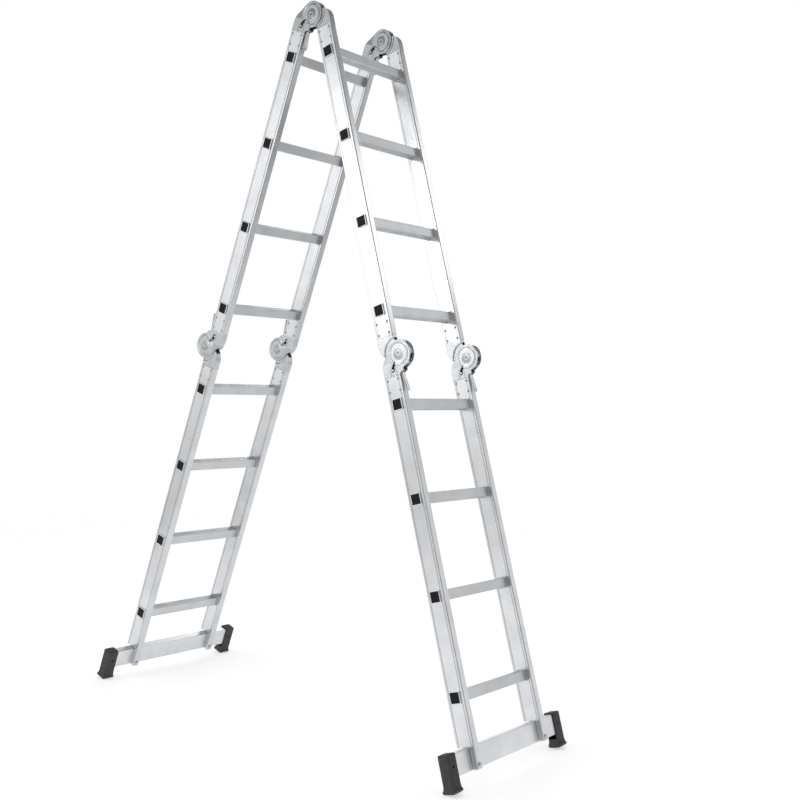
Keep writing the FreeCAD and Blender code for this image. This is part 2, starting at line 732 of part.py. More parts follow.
def notched_leaf(hinge, name, side, folds):
    """The leaf with two round plates between the covers, notched for the lock bar at each fold."""
    body = new_body(name)
    middle_x = side * stile_x
    axis = hinge.at(sized(0), sized(0))
    clear = -d.pivot_offset - d.neck_gap
    edge = [(-d.brow_inset, d.leaf_gap), (clear, d.brow_inset), (clear, d.hinge_reach - d.leaf_rim)]
    points = leaf_neck(hinge, edge)
    neck = Outline(body, "YZ_Plane", middle_x).path(points, {len(points) - 1: brow_arc(hinge)})
    pad(body, neck, d.drum_thickness, symmetric=True)
    thin_insert(body, hinge, middle_x)
    room = Outline(body, "YZ_Plane", middle_x).circle(axis, d.neck_radius)
    pocket(body, room, 2 * d.drum_thickness, symmetric=True)
    disc = Outline(body, "YZ_Plane", middle_x).circle(axis, d.disc_radius)
    pad(body, disc, 2 * disc_half, symmetric=True)
    web = Outline(body, "YZ_Plane", middle_x).path(points, {len(points) - 1: brow_arc(hinge)})
    pad(body, web, 2 * disc_half, symmetric=True)
    hollow = Outline(body, "YZ_Plane", middle_x)
    hollow.path(neck_hollow(hinge, d.leaf_rim, d.disc_radius))
    pocket(body, hollow, 2 * disc_slot_half, symmetric=True)
    back = -(d.pivot_offset + d.stile_depth) + d.leaf_rim + d.stile_wall
    front = -d.pivot_offset - d.leaf_rim - d.stile_wall
    end = d.hinge_reach + d.insert_depth + BEYOND
    box = Outline(body, "YZ_Plane", middle_x)
    box.path([
        hinge.at(front, d.hinge_reach - d.leaf_rim),
        hinge.at(front, end),
        hinge.at(back, end),
        hinge.at(back, d.brow_height),
    ])
    pocket(body, box, 2 * slot_half, symmetric=True)
    between = Outline(body, "YZ_Plane", middle_x).circle(axis, d.neck_radius + BEYOND)
    pocket(body, between, 2 * disc_slot_half, symmetric=True)
    holes = leaf_holes(hinge, Outline(body, "YZ_Plane", middle_x))
    depth = bar_in - d.bar_radius - d.lock_fit
    for fold in folds:
        holes.path(bar_slot(hinge, depth, d.disc_radius + BEYOND, fold - d.lock_angle))
    pocket(body, holes, 2 * d.drum_thickness, symmetric=True)
    return lean(body, hinge.section.out)


def lock_lever(hinge, name, side):
    """A lever with its lock bar, pin and spring, in the withdrawn position."""
    body = new_body(name)
    middle_x = side * stile_x
    eye = d.lever_eye
    pin_p, pin_q = polar(lever_pin_out, d.lock_angle, d.lever_arm)

    def swung(p, q):
        """A place on the locked lever, given from its pin, turned to the withdrawn position."""
        turn = d.lever_swing
        across, down = p * cosine(turn) + q * sine(turn), q * cosine(turn) - p * sine(turn)
        return hinge.at(pin_p + across, pin_q + down)

    inner_face = d.lever_gap - d.pivot_offset - pin_p
    outer_face = inner_face + d.lever_plate
    arm = Outline(body, "YZ_Plane", middle_x)
    arm.path([
        hinge.at(*polar(bar_out - eye, d.lock_angle, -eye)),
        hinge.at(*polar(bar_out + eye, d.lock_angle, -eye)),
        hinge.at(*polar(lever_pin_out + eye, d.lock_angle, d.lever_arm - eye)),
        swung(inner_face, d.lever_neck),
        swung(outer_face, d.lever_neck),
        hinge.at(*polar(lever_pin_out - eye, d.lock_angle, d.lever_arm - eye)),
    ])
    pad(body, arm, d.lever_web, symmetric=True)
    plate = Outline(body, "YZ_Plane", middle_x)
    plate.path([
        swung(inner_face, d.lever_start),
        swung(outer_face, d.lever_start),
        swung(outer_face, d.lever_length),
        swung(inner_face, d.lever_length),
    ])
    pad(body, plate, d.lever_width, symmetric=True)
    bar_at = hinge.at(*polar(bar_out, d.lock_angle))
    holes = Outline(body, "YZ_Plane", middle_x).circle(bar_at, d.bar_radius + d.pin_fit)
    holes.circle(hinge.at(pin_p, pin_q), d.lever_pin_radius + d.pin_fit)
    pocket(body, holes, d.drum_thickness, symmetric=True)
    bar = Outline(body, "YZ_Plane", middle_x).circle(bar_at, d.bar_radius)
    pad(body, bar, d.drum_thickness + 2 * d.bar_end, symmetric=True)
    pin_at = hinge.at(pin_p, pin_q)
    pin = Outline(body, "YZ_Plane", middle_x).circle(pin_at, d.lever_pin_radius)
    pad(body, pin, d.drum_thickness + 2 * d.bar_end, symmetric=True)
    for turn in range(COIL_TURNS):
        coil = Outline(body, "YZ_Plane", middle_x + d.lever_web / 2 + d.coil_gap + turn * d.coil_pitch)
        coil.circle(pin_at, d.coil_radius + d.coil_wire / 2)
        coil.circle(pin_at, d.coil_radius - d.coil_wire / 2)
        pad(body, coil, d.coil_wire)
    return lean(body, hinge.section.out)


def hinge_pivots(name, hinges):
    """The riveted pins that a body's hinges turn on."""
    body = new_body(name)
    grip = drum_half + d.dome_height
    for side in (-1, 1):
        middle_x = side * stile_x
        shanks = Outline(body, "YZ_Plane", middle_x)
        for hinge in hinges:
            shanks.circle(hinge.at(sized(0), sized(0)), d.pin_radius)
        pad(body, shanks, 2 * grip, symmetric=True)
        for face in (-1, 1):
            heads = Outline(body, "YZ_Plane", middle_x + face * grip)
            steps = Outline(body, "YZ_Plane", middle_x + face * (grip + d.head_height))
            for hinge in hinges:
                heads.circle(hinge.at(sized(0), sized(0)), d.head_radius)
                steps.circle(hinge.at(sized(0), sized(0)), d.head_ring)
            pad(body, heads, d.head_height, reverse=face < 0)
            pocket(body, steps, d.head_step, reverse=face < 0)
    return lean(body, hinges[0].section.out)


def stabiliser_bar(section, leg):
    """The wide tube across the bottom of a lower section."""
    body = new_body(f"{leg}_stabiliser_bar")
    middle_y, middle_z = section.at(stile_middle, (base_top + base_bottom) / 2)
    half_y = d.base_thickness / 2
    half_z = d.base_height / 2
    tube = Outline(body, "YZ_Plane").box(
        middle_y - half_y, middle_y + half_y, middle_z - half_z, middle_z + half_z
    )
    pad(body, tube, d.base_length, symmetric=True)
    soften(body, "Fillet", d.base_corner, runs_along("x", d.base_length))
    inner_y = half_y - d.base_wall
    inner_z = half_z - d.base_wall
    hollow = Outline(body, "YZ_Plane").box(
        middle_y - inner_y, middle_y + inner_y, middle_z - inner_z, middle_z + inner_z
    )
    pocket(body, hollow, d.base_length + 2 * BEYOND, symmetric=True)
    for side in (-1, 1):
        drill_for_bolt(body, section, side * stile_x)
        drill_for_screw(body, section, side)
    return lean(body, section.out)


def drill_for_screw(body, section, side):
    """A foot screw's hole through the -Y wall of the bar and the foot."""
    hole = Outline(body, "XZ_Plane", -section.out * stile_middle)
    place = (side * (foot_end - d.foot_length / 2), -base_top - d.screw_drop)
    hole.circle(place, d.screw_shank + d.screw_fit)
    pocket(body, hole, d.base_thickness, reverse=True)


def foot(section, leg, side_name, side):
    """A rubber boot over the end of a stabiliser bar, with a rounded, flared sole."""
    body = new_body(f"{leg}_{side_name}_foot")
    half = d.base_thickness / 2 + d.foot_wall
    tip = half + d.foot_flare
    tip_drop = d.sole_drop - d.sole_radius + root(d.sole_radius * d.sole_radius - tip * tip)
    top = base_top - d.foot_wall
    waist = base_bottom + tip_drop - d.flare_height
    tips = base_bottom + tip_drop
    offsets = [(-half, top), (half, top), (half, waist), (tip, tips), (-tip, tips), (-half, waist)]
    profile = Outline(body, "YZ_Plane", side * foot_end)
    points = [section.at(stile_middle + across, s) for across, s in offsets]
    profile.path(points, {3: -section.out * d.sole_radius})
    pad(body, profile, d.foot_length, reverse=side > 0)
    socket = Outline(body, "YZ_Plane", side * d.base_length / 2)
    socket_y, socket_z = section.at(stile_middle, (base_top + base_bottom) / 2)
    fit_y = d.base_thickness / 2 + d.foot_fit
    fit_z = d.base_height / 2 + d.foot_fit
    socket.box(socket_y - fit_y, socket_y + fit_y, socket_z - fit_z, socket_z + fit_z)
    pocket(body, socket, d.foot_length, reverse=side < 0)
    flat = Outline(body, "YZ_Plane", side * foot_end)
    depth = d.sole_radius - d.sole_flat
    past = d.sole_radius + BEYOND
    floor = [(depth, -tip), (depth, tip), (past, tip), (past, -tip)]
    flat.path([
        section.at(
            stile_middle - down * sine(d.lean) + along * cosine(d.lean),
            sole_centre_s + down * cosine(d.lean) + along * sine(d.lean),
        )
        for down, along in floor
    ])
    pocket(body, flat, d.foot_length, reverse=side < 0)
    drill_for_screw(body, section, side)
    return lean(body, section.out)


def bar_fasteners(section, leg):
    """The bolts, washers and nuts that hold a stabiliser bar in its stiles, and the feet's screws."""
    body = new_body(f"{leg}_bar_fasteners")
    front_y = section.at(stile_outer if section.strip_outside else stile_inner, 0)[0]
    back_y = section.at(base_inner if section.strip_outside else base_outer, 0)[0]
    bar_y = section.out * stile_middle - d.base_thickness / 2
    foot_y = bar_y - d.foot_wall
    bolts_z = d.bolt_rise - base_bottom
    screws_z = -base_top - d.screw_drop
    bolt_xs = [side * stile_x for side in (-1, 1)]
    screw_xs = [side * (foot_end - d.foot_length / 2) for side in (-1, 1)]
    rods = [
        (bolt_xs, bolts_z, front_y, d.bolt_radius, back_y + d.nut_height - front_y, False),
        (bolt_xs, bolts_z, front_y, d.bolt_head, d.bolt_height, True),
        (screw_xs, screws_z, foot_y, d.screw_shank, d.foot_wall + d.base_wall, False),
        (screw_xs, screws_z, foot_y, d.screw_radius, d.screw_height, True),
    ]
    for xs, z, y, radius, length, forward in rods:
        rounds = Outline(body, "XZ_Plane", -y)
        for x in xs:
            rounds.circle((x, z), radius)
        pad(body, rounds, length, reverse=not forward)
    washers = Outline(body, "XZ_Plane", -bar_y)
    for x in bolt_xs:
        washers.circle((x, bolts_z), d.washer_radius)
        washers.circle((x, bolts_z), d.bolt_radius + d.bolt_fit)
    pad(body, washers, d.washer_thickness)
    nuts = Outline(body, "XZ_Plane", -back_y)
    for x in bolt_xs:
        corners = [polar(d.nut_radius, 60 * corner) for corner in range(6)]
        nuts.path([(x + across, bolts_z + up) for across, up in corners])
    pad(body, nuts, d.nut_height, reverse=True)
    fronts = [(y - height).value for y, height in ((front_y, d.bolt_height), (foot_y, d.screw_height))]
    soften(body, "Fillet", d.screw_height * ROUNDED, lambda edge: faces_front(edge, fronts))
    return lean(body, section.out)


def faces_front(edge, places):
    """Whether an edge lies in one of several planes across Y."""
    box = edge.BoundBox
    return box.YLength < 1e-6 and any(abs(box.YMin - y) < 1e-6 for y in places)


def hinge_pair(name, cover_hinge, notched_hinge, folds):
    """The leaves and levers of a left and a right hinge."""
    pieces = []
    for side_name, side in SIDES:
        pieces.append(cover_leaf(cover_hinge, f"{name}_{side_name}_cover_leaf", side))
        pieces.append(notched_leaf(notched_hinge, f"{name}_{side_name}_notched_leaf", side, folds))
        pieces.append(lock_lever(cover_hinge, f"{name}_{side_name}_lock_lever", side))
    return pieces


def build():
    """Every piece of the ladder."""
    sections = {
        f"{leg}_{level}": Section(leg, level) for leg in LEGS for level in ("upper", "lower")
    }
    pieces = []
    for section in sections.values():
        for side_name, side in SIDES:
            pieces.append(stile(section, side_name, side))
        for number in range(RUNGS):
            pieces.append(rung(section, number))
        pieces.append(rung_plugs(section))
        pieces.append(leaf_rivets(section))
    for leg in LEGS:
        section = sections[f"{leg}_lower"]
        pieces.append(stabiliser_bar(section, leg))
        pieces.append(bar_fasteners(section, leg))
        for side_name, side in SIDES:
            pieces.append(foot(section, leg, side_name, side))
    top = Hinge(sections["rear_upper"], True)
    front = Hinge(sections["front_lower"], True)
    rear = Hinge(sections["rear_upper"], False)
    standing = 180 - 2 * d.lean
    pieces += hinge_pair("top", top, Hinge(sections["front_upper"], True), (0, standing, 180))
    pieces += hinge_pair("front", front, Hinge(sections["front_upper"], False), MIDDLE_FOLDS)
    pieces += hinge_pair("rear", rear, Hinge(sections["rear_lower"], True), MIDDLE_FOLDS)
    pieces.append(hinge_pivots("rear_upper_hinge_pins", [top, rear]))
    pieces.append(hinge_pivots("front_lower_hinge_pins", [front]))
    return pieces


def check(pieces):
    """Stop if anything in the document failed or any piece is empty or broken."""
    for thing in document.Objects:
        if "Invalid" in thing.State or "Error" in thing.State:
            raise RuntimeError(f"{thing.Label} failed: {thing.State}")
    for piece in pieces:
        if piece.Shape.isNull() or not piece.Shape.isValid() or not piece.Shape.Solids:
            raise RuntimeError(f"{piece.Label} has no good solid")


def export(pieces):
    """Write each piece to its own STEP file."""
    os.makedirs("parts", exist_ok=True)
    for piece in pieces:
        piece.Shape.exportStep(f"parts/{piece.Label}.step")
        print(piece.Label, len(piece.Shape.Solids), round(piece.Shape.Volume))


ladder = build()
document.recompute()
check(ladder)
export(ladder)
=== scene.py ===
# %% [markdown]
# # A folding multi-position ladder, dressed
#
# The ladder is four short ladder sections joined by three pairs of locking hinges. Its construction
# comes ready made, in a fixed frame in metres with +Z up. This notebook loads it, gives every
# surface its real finish, and models again the pressed, moulded and sprung pieces whose soft
# corners and embossing plain solids lack.

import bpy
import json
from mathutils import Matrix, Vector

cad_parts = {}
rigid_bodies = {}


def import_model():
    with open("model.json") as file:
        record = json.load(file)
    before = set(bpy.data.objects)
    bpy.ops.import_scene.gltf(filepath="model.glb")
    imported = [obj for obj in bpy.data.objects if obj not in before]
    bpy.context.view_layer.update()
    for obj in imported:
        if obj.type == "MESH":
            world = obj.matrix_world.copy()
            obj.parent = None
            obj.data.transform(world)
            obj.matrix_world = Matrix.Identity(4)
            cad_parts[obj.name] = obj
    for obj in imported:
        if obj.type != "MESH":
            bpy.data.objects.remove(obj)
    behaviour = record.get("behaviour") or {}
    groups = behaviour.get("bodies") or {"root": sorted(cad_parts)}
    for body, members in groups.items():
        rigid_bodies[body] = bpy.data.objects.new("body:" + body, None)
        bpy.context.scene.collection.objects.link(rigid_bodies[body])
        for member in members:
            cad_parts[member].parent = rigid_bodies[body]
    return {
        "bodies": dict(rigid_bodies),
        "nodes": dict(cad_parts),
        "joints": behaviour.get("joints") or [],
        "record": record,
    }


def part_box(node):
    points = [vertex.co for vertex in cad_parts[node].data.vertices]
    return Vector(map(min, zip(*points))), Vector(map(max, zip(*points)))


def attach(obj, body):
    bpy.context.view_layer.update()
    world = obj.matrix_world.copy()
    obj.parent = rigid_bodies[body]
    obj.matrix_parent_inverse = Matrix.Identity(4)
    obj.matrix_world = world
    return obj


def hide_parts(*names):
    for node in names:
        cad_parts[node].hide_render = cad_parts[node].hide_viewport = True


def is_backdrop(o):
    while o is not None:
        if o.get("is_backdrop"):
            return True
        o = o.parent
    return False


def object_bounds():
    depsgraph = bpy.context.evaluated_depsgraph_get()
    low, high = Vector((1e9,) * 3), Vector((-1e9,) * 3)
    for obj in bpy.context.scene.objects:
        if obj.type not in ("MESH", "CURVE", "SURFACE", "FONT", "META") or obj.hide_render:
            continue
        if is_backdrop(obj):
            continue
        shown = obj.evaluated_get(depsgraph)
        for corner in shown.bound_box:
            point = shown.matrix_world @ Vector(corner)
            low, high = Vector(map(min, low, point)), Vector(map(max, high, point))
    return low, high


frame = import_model()
print("the frame holds", *frame)

# %% [markdown]
# ## What the frame tells
#
# The frame brings its own facts: the construction's outer box, its nodes, the body that each node
# moves with, and the place of each joint. Later cells take their places from these, so the dressed
# pieces can't drift away from what carries them.

# %% Facts of the frame
import json
import math

import bpy
import numpy as np
from mathutils import Matrix, Vector

cad_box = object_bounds()
nodes = frame["nodes"]
bodies = frame["record"]["behaviour"]["bodies"]
axes = {joint["name"]: np.array(joint["pos_m"]) for joint in frame["joints"]}

# %% [markdown]
# ## Where things are
#
# Both legs lean alike from the top hinge, so one small frame describes them: x runs along the
# rungs, n points outward from the inside of the A, and s runs down the leg, all in millimetres
# from the top hinge's axis. A section is on the front leg, which stands towards -Y, or the rear.
# Drawing a piece upright in such a frame and leaning it at the end is easier than turning it later.

# %% Legs
MM = 0.001  # millimetres to metres
LEAN = math.radians(17.75)  # of each leg from upright
TOP_AXIS = axes["top_fold"][2]
OUT = {"front": -1, "rear": 1}
SIDES = {"left": -1, "right": 1}


def from_leg(out, x, n, s):
    """Places in a leg's frame, as places in the ladder's: n and s turned by the lean about X."""
    y = out * (n * math.cos(LEAN) + s * math.sin(LEAN))
    z = n * math.sin(LEAN) - s * math.cos(LEAN)
    return np.stack(np.broadcast_arrays(x * MM, y * MM, z * MM + TOP_AXIS), axis=-1)


def to_leg(out, place):
    """The n and s of a place: the same turn the other way."""
    y, z = out * place[1] / MM, (place[2] - TOP_AXIS) / MM
    return y * math.cos(LEAN) + z * math.sin(LEAN), y * math.sin(LEAN) - z * math.cos(LEAN)


MIDDLE_AXIS = to_leg(OUT["front"], axes["front_fold"])
print("the middle hinges' axes are at n, s =", [round(float(v), 2) for v in MIDDLE_AXIS])

# %% [markdown]
# ## Places in a hinge
#
# A leaf's shape is drawn about its hinge's axis: p is the distance outward, away from the stiles,
# and q the distance towards the leaf's own stile. The three hinges then differ only in where
# their axis is and which way p and q point.

# %% Hinge frames
def hinge_frame(section, upper_end):
    """A function from x, p and q to the ladder's frame, for the hinge at one end of a section."""
    out = OUT[section.split("_")[0]]
    top = upper_end and section.endswith("upper")
    n, s = (0, 0) if top else MIDDLE_AXIS
    p_sign, q_sign = -1 if top else 1, 1 if upper_end else -1

    def place(x, p, q):
        return from_leg(out, x, n + p_sign * np.asarray(p), s + q_sign * np.asarray(q))

    def find(point):
        n_at, s_at = to_leg(out, point)
        return (n_at - n) * p_sign, (s_at - s) * q_sign

    return place, find


# For each hinge: the section of its cover leaf and of its notched leaf, and at which end.
LEAVES = {
    "top": {"cover": ("rear_upper", True), "notched": ("front_upper", True)},
    "front": {"cover": ("front_lower", True), "notched": ("front_upper", False)},
    "rear": {"cover": ("rear_upper", False), "notched": ("rear_lower", True)},
}
stile_low, stile_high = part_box("front_upper_left_stile")
STILE_X = abs(stile_low.x + stile_high.x) / 2 / MM
STILE_HALF = (stile_high.x - stile_low.x) / 2 / MM
print("the stiles' middles are", round(STILE_X, 2), "mm from the ladder's")
print("a stile is", round(2 * STILE_HALF, 2), "mm wide")

# %% [markdown]
# ## Colours
#
# Colours are written as sRGB hex values, as on a paint chart, and one function turns them into
# the linear numbers that a shader works in.

# %% Colours
def hex_colour(code):
    """The linear RGBA of an sRGB hex value."""
    channels = np.array([int(code[i:i + 2], 16) for i in (0, 2, 4)]) / 255
    low, high = channels / 12.92, ((channels + 0.055) / 1.055) ** 2.4
    return (*np.where(channels <= 0.04045, low, high).tolist(), 1.0)


print("bright mill aluminium is", [round(c, 3) for c in hex_colour("E2E4E6")])

# %% [markdown]
# ## Materials from nodes
#
# A material in Blender is a graph of nodes. One small function adds any node with its settings and
# its links, so each recipe below reads as a list of nodes. Every finish starts from the Principled
# shader, because it covers metal, plastic and rubber with a few measured values.

# %% Nodes and materials
def add_node(tree, kind, inputs=None, **settings):
    """A new node of that kind. An input is a plain value, or the socket that feeds it."""
    node = tree.nodes.new(kind)
    for key, value in settings.items():
        setattr(node, key, value)
    for key, value in (inputs or {}).items():
        if isinstance(value, bpy.types.NodeSocket):
            tree.links.new(value, node.inputs[key])
        else:
            node.inputs[key].default_value = value
    return node


def new_material(name, **shader):
    """A material with one Principled shader, whose plain values are set on its own sockets."""
    material = bpy.data.materials.new(name)
    material.use_nodes = True
    tree = material.node_tree
    tree.nodes.clear()
    settings = {
        key.replace("_", " ").title().replace("Ior", "IOR"): value for key, value in shader.items()
    }
    principled = add_node(tree, "ShaderNodeBsdfPrincipled", settings)
    add_node(tree, "ShaderNodeOutputMaterial", {"Surface": principled.outputs["BSDF"]})
    return material, tree, principled


print("two helpers ready:", add_node.__name__, "and", new_material.__name__)

# %% [markdown]
# ## Patterns
#
# No real surface has one colour and one gloss. Each finish below is broken up by noise that sits on
# the piece itself, on Object coordinates, so it stays in place when the piece moves. The noise has
# a size in millimetres for each axis: long and thin blobs are die lines, small round ones are
# pits or pebbles, and large ones are clouds. It then drives the colour, the gloss or a fine relief.

# %% Patterns
NOISE_LOW, NOISE_HIGH = 0.3, 0.7  # nearly all of a noise's values lie between these


def grain(tree, size, turn=(0, 0, 0), detail=2.0):
    """Noise on Object coordinates, turned by turn: its blobs are about size = (x, y, z) mm."""
    coordinates = add_node(tree, "ShaderNodeTexCoord")
    scale = [1 / (length * MM) for length in size]
    mapping = add_node(
        tree, "ShaderNodeMapping",
        {"Vector": coordinates.outputs["Object"], "Rotation": turn, "Scale": (1, 1, 1)},
    )
    stretched = add_node(
        tree, "ShaderNodeVectorMath", {0: mapping.outputs["Vector"], 1: scale}, operation="MULTIPLY"
    )
    return add_node(
        tree, "ShaderNodeTexNoise",
        {"Vector": stretched.outputs["Vector"], "Scale": 1.0, "Detail": detail},
    ).outputs["Fac"]


def vary(tree, principled, key, noise, low, high):
    """Let a number on the shader swing between two values with the noise."""
    swing = add_node(
        tree, "ShaderNodeMapRange",
        {"Value": noise, "From Min": NOISE_LOW, "From Max": NOISE_HIGH, "To Min": low, "To Max": high},
    )
    tree.links.new(swing.outputs["Result"], principled.inputs[key])


def tint(tree, principled, noise, first, second):
    """Let the colour drift between two hex values with the noise."""
    ramp = add_node(tree, "ShaderNodeValToRGB", {"Fac": noise})
    stops = zip(ramp.color_ramp.elements, (NOISE_LOW, NOISE_HIGH), (first, second))
    for element, place, code in stops:
        element.position, element.color = place, hex_colour(code)
    tree.links.new(ramp.outputs["Color"], principled.inputs["Base Color"])


def emboss(tree, principled, noise, depth):
    """Raise and sink the surface by depth millimetres with the noise, as light sees it."""
    bump = add_node(
        tree, "ShaderNodeBump", {"Height": noise, "Distance": depth * MM, "Strength": 1.0}
    )
    tree.links.new(bump.outputs["Normal"], principled.inputs["Normal"])


print("a grain of 2 mm has a scale of", round(1 / (2 * MM)), "per metre")

# %% [markdown]
# ## Extruded aluminium
#
# The stiles, rungs and bars are aluminium forced through a die and left as it came out: bright,
# a little dull, with faint lines along each length where the die dragged. The lines run down the
# lean of each leg on the stiles and along X on the rungs and bars, so one recipe takes a turn
# and a direction. Real die lines are a tenth of a millimetre apart. They are drawn two
# millimetres apart here, or nothing of them would show.

# %% Extruded aluminium
DIE_LINE, DIE_RUN, DIE_DEPTH = 2.0, 400.0, 0.02  # a die line's width, length and depth
CLOUD = 60.0  # the slow drift of the metal's colour


def extruded_aluminium(name, along, turn=0.0, colour=("DEE0E2", "D3D5D8"), rough=(0.20, 0.28)):
    """6005 aluminium, extruded and unpainted: die lines along one axis, turned about X."""
    material, tree, principled = new_material(name, metallic=1.0)
    size = [DIE_RUN if axis == along else DIE_LINE for axis in range(3)]
    lines = grain(tree, size, (turn, 0, 0), detail=3.0)
    clouds = grain(tree, (CLOUD, CLOUD, CLOUD))
    tint(tree, principled, clouds, *colour)
    vary(tree, principled, "Roughness", lines, *rough)
    emboss(tree, principled, lines, DIE_DEPTH)
    return material


print("die lines are drawn", DIE_LINE, "mm apart and", DIE_DEPTH, "mm deep")

# %% [markdown]
# ## Painted shade at the stiles' edges
#
# Each side of a stile has a groove near both long edges. Shade is painted into the colour in the
# grooves, and a lighter painted shade on the edges beyond them. Both depend only on how far a point is
# from the stile's middle line, so a ramp over that distance paints them. An image painted by hand
# would do it too, but a ramp stays sharp at any size and follows the formula of the section.

# %% Painted shade at the edges
STILE_MIDDLE = 38.0  # the middle of a stile, along n
GROOVE_OFF = 20.3  # from there to a groove
SHADE_START, SHADE_END = GROOVE_OFF - 1, GROOVE_OFF + 4  # where the ramp starts and ends
EDGE_SHADE, GROOVE_SHADE = 0.88, 0.72
# Along the ramp: the unshaded middle, the groove, and the edge beyond it.
SHADE_STOPS = [(0.0, 1.0), (0.25, GROOVE_SHADE), (0.45, GROOVE_SHADE), (0.7, EDGE_SHADE)]


def shade_edges(material, out):
    """Multiply a stile's colour by a ramp over |n - middle|, where n is a dot product of the place
    with the leg's outward direction."""
    tree = material.node_tree
    principled = tree.nodes["Principled BSDF"]
    place = add_node(tree, "ShaderNodeTexCoord").outputs["Object"]
    outward = (0, out * math.cos(LEAN) / MM, math.sin(LEAN) / MM)
    n = add_node(tree, "ShaderNodeVectorMath", {0: place, 1: outward}, operation="DOT_PRODUCT")
    middle = STILE_MIDDLE + TOP_AXIS / MM * math.sin(LEAN)
    signed = add_node(
        tree, "ShaderNodeMath", {0: n.outputs["Value"], 1: middle}, operation="SUBTRACT")
    off = add_node(tree, "ShaderNodeMath", {0: signed.outputs[0]}, operation="ABSOLUTE").outputs[0]
    along = add_node(
        tree, "ShaderNodeMapRange", {"Value": off, "From Min": SHADE_START, "From Max": SHADE_END})
    shade = add_node(tree, "ShaderNodeValToRGB", {"Fac": along.outputs["Result"]})
    elements = shade.color_ramp.elements
    while len(elements) < len(SHADE_STOPS):
        elements.new(0.5)
    for element, (at, level) in zip(elements, SHADE_STOPS):
        element.position, element.color = at, (level, level, level, 1)
    colour = principled.inputs["Base Color"].links[0].from_socket
    # Painted shade: the colour is multiplied by the ramp, darker in the grooves and on the edges.
    mixed = add_node(
        tree, "ShaderNodeVectorMath", {0: colour, 1: shade.outputs["Color"]}, operation="MULTIPLY")
    tree.links.new(mixed.outputs["Vector"], principled.inputs["Base Color"])
    return material


print("grooves are", GROOVE_OFF, "mm from a stile's middle")

# %% [markdown]
# ## The aluminium finishes
#
# The same recipe makes them all. The stiles are the brightest. The rungs are rougher, because their
# ribs scatter the light, and their colour is darker, which paints in the shade between the ribs. Their
# ends were pressed out over the stiles, which polished them a little, and the stabiliser bars are
# between the two. The two legs lean opposite ways, so each has its own stile finish, whose lines are
# turned to follow it.

# %% Aluminium finishes
stile_finish = {
    leg: shade_edges(extruded_aluminium(f"extruded_aluminium_{leg}_stiles", 2, turn=-out * LEAN), out)
    for leg, out in OUT.items()
}
# The rungs' darker colours are painted shade of their ribs; the metal is the stiles' alloy.
rung_finish = extruded_aluminium(
    "extruded_aluminium_rungs", 0, colour=("CCCFD1", "C2C5C8"), rough=(0.38, 0.48))
flare_finish = extruded_aluminium("swaged_aluminium_rung_ends", 0, rough=(0.26, 0.34))
bar_finish = extruded_aluminium("extruded_aluminium_bars", 0, rough=(0.34, 0.42))
aluminium = (*stile_finish.values(), rung_finish, flare_finish, bar_finish)
print("aluminium finishes:", [finish.name for finish in aluminium])

# %% [markdown]
# ## Zinc-plated steel
#
# The hinges, levers and pins are pressed or turned from steel and plated with zinc. The plating is
# softer and greyer than chrome, and cloudy over a few centimetres, with the fine pitting that the
# bath leaves. One noise moves both the colour and the gloss, as the thickness of real zinc does.
# Real pits are less than a tenth of a millimetre wide. They are drawn coarser, so that they show.

# %% Zinc on steel
PIT, PIT_DEPTH = 0.8, 0.01  # a pit's width and depth


def zinc_plated(name, colours, rough, cloud):
    """Bright zinc on steel: cloudy in colour and gloss, with the fine pitting of the bath."""
    material, tree, principled = new_material(name, metallic=1.0)
    clouds = grain(tree, (cloud, cloud, cloud), detail=4.0)
    tint(tree, principled, clouds, *colours)
    vary(tree, principled, "Roughness", clouds, *rough)
    emboss(tree, principled, grain(tree, (PIT, PIT, PIT)), PIT_DEPTH)
    return material


print("pits are", PIT, "mm across")

# %% [markdown]
# ## Painted shade
#
# Shade is painted into the hinges' colour in every step of the pressing. Where that is depends on the
# shape, not on a noise, so each hinge piece carries its own attribute, worked out with its shape
# further down. The finish only has to read it and darken the metal.

# %% Painted shade in a finish
PAINTED_SHADE_STRENGTH = 0.85  # how much of the colour full painted shade takes away


def add_painted_shade(material):
    """Darken a finish by its mesh's attribute of painted shade, which is largest in the hinge's steps
    and hollows.
    """
    tree = material.node_tree
    principled = tree.nodes["Principled BSDF"]
    # Painted shade: the attribute darkens the colour in the hinge's steps and hollows.
    painted_shade = add_node(tree, "ShaderNodeAttribute", attribute_name="painted_shade").outputs["Fac"]
    left = add_node(
        tree, "ShaderNodeMapRange", {"Value": painted_shade, "To Min": 1.0, "To Max": 1 - PAINTED_SHADE_STRENGTH})
    colour = principled.inputs["Base Color"].links[0].from_socket
    dulled = add_node(
        tree, "ShaderNodeVectorMath", {0: colour, "Scale": left.outputs["Result"]}, operation="SCALE")
    tree.links.new(dulled.outputs["Vector"], principled.inputs["Base Color"])
    return material


print("full grime leaves", round(1 - PAINTED_SHADE_STRENGTH, 2), "of the colour")

# %% [markdown]
# ## The steel finishes
#
# The leaves are the lightest. The levers are handled and dull sooner, and the pins are turned, so
# their clouds are small. The blind rivets are aluminium that shares the recipe, drawn a little darker
# than the leaves as painted shade of their small domed heads. The lock bars and the foot screws are
# near black steel, nearly a metal; on the lock bars the black is painted shade, so the slots they show
# through read dark.

# %% Steel finishes
# Each zinc finish: its two colours, its range of roughness and the width of its clouds.
leaf_finish = add_painted_shade(
    zinc_plated("zinc_plated_pressed_steel", ("D2D5D7", "C4C7C9"), (0.22, 0.32), 25))
lever_finish = zinc_plated("zinc_plated_lever_steel", ("C0C3C5", "B0B3B6"), (0.22, 0.30), 18)
pin_finish = add_painted_shade(
    zinc_plated("zinc_plated_turned_steel", ("C8CBCD", "B7BABD"), (0.20, 0.28), 6))
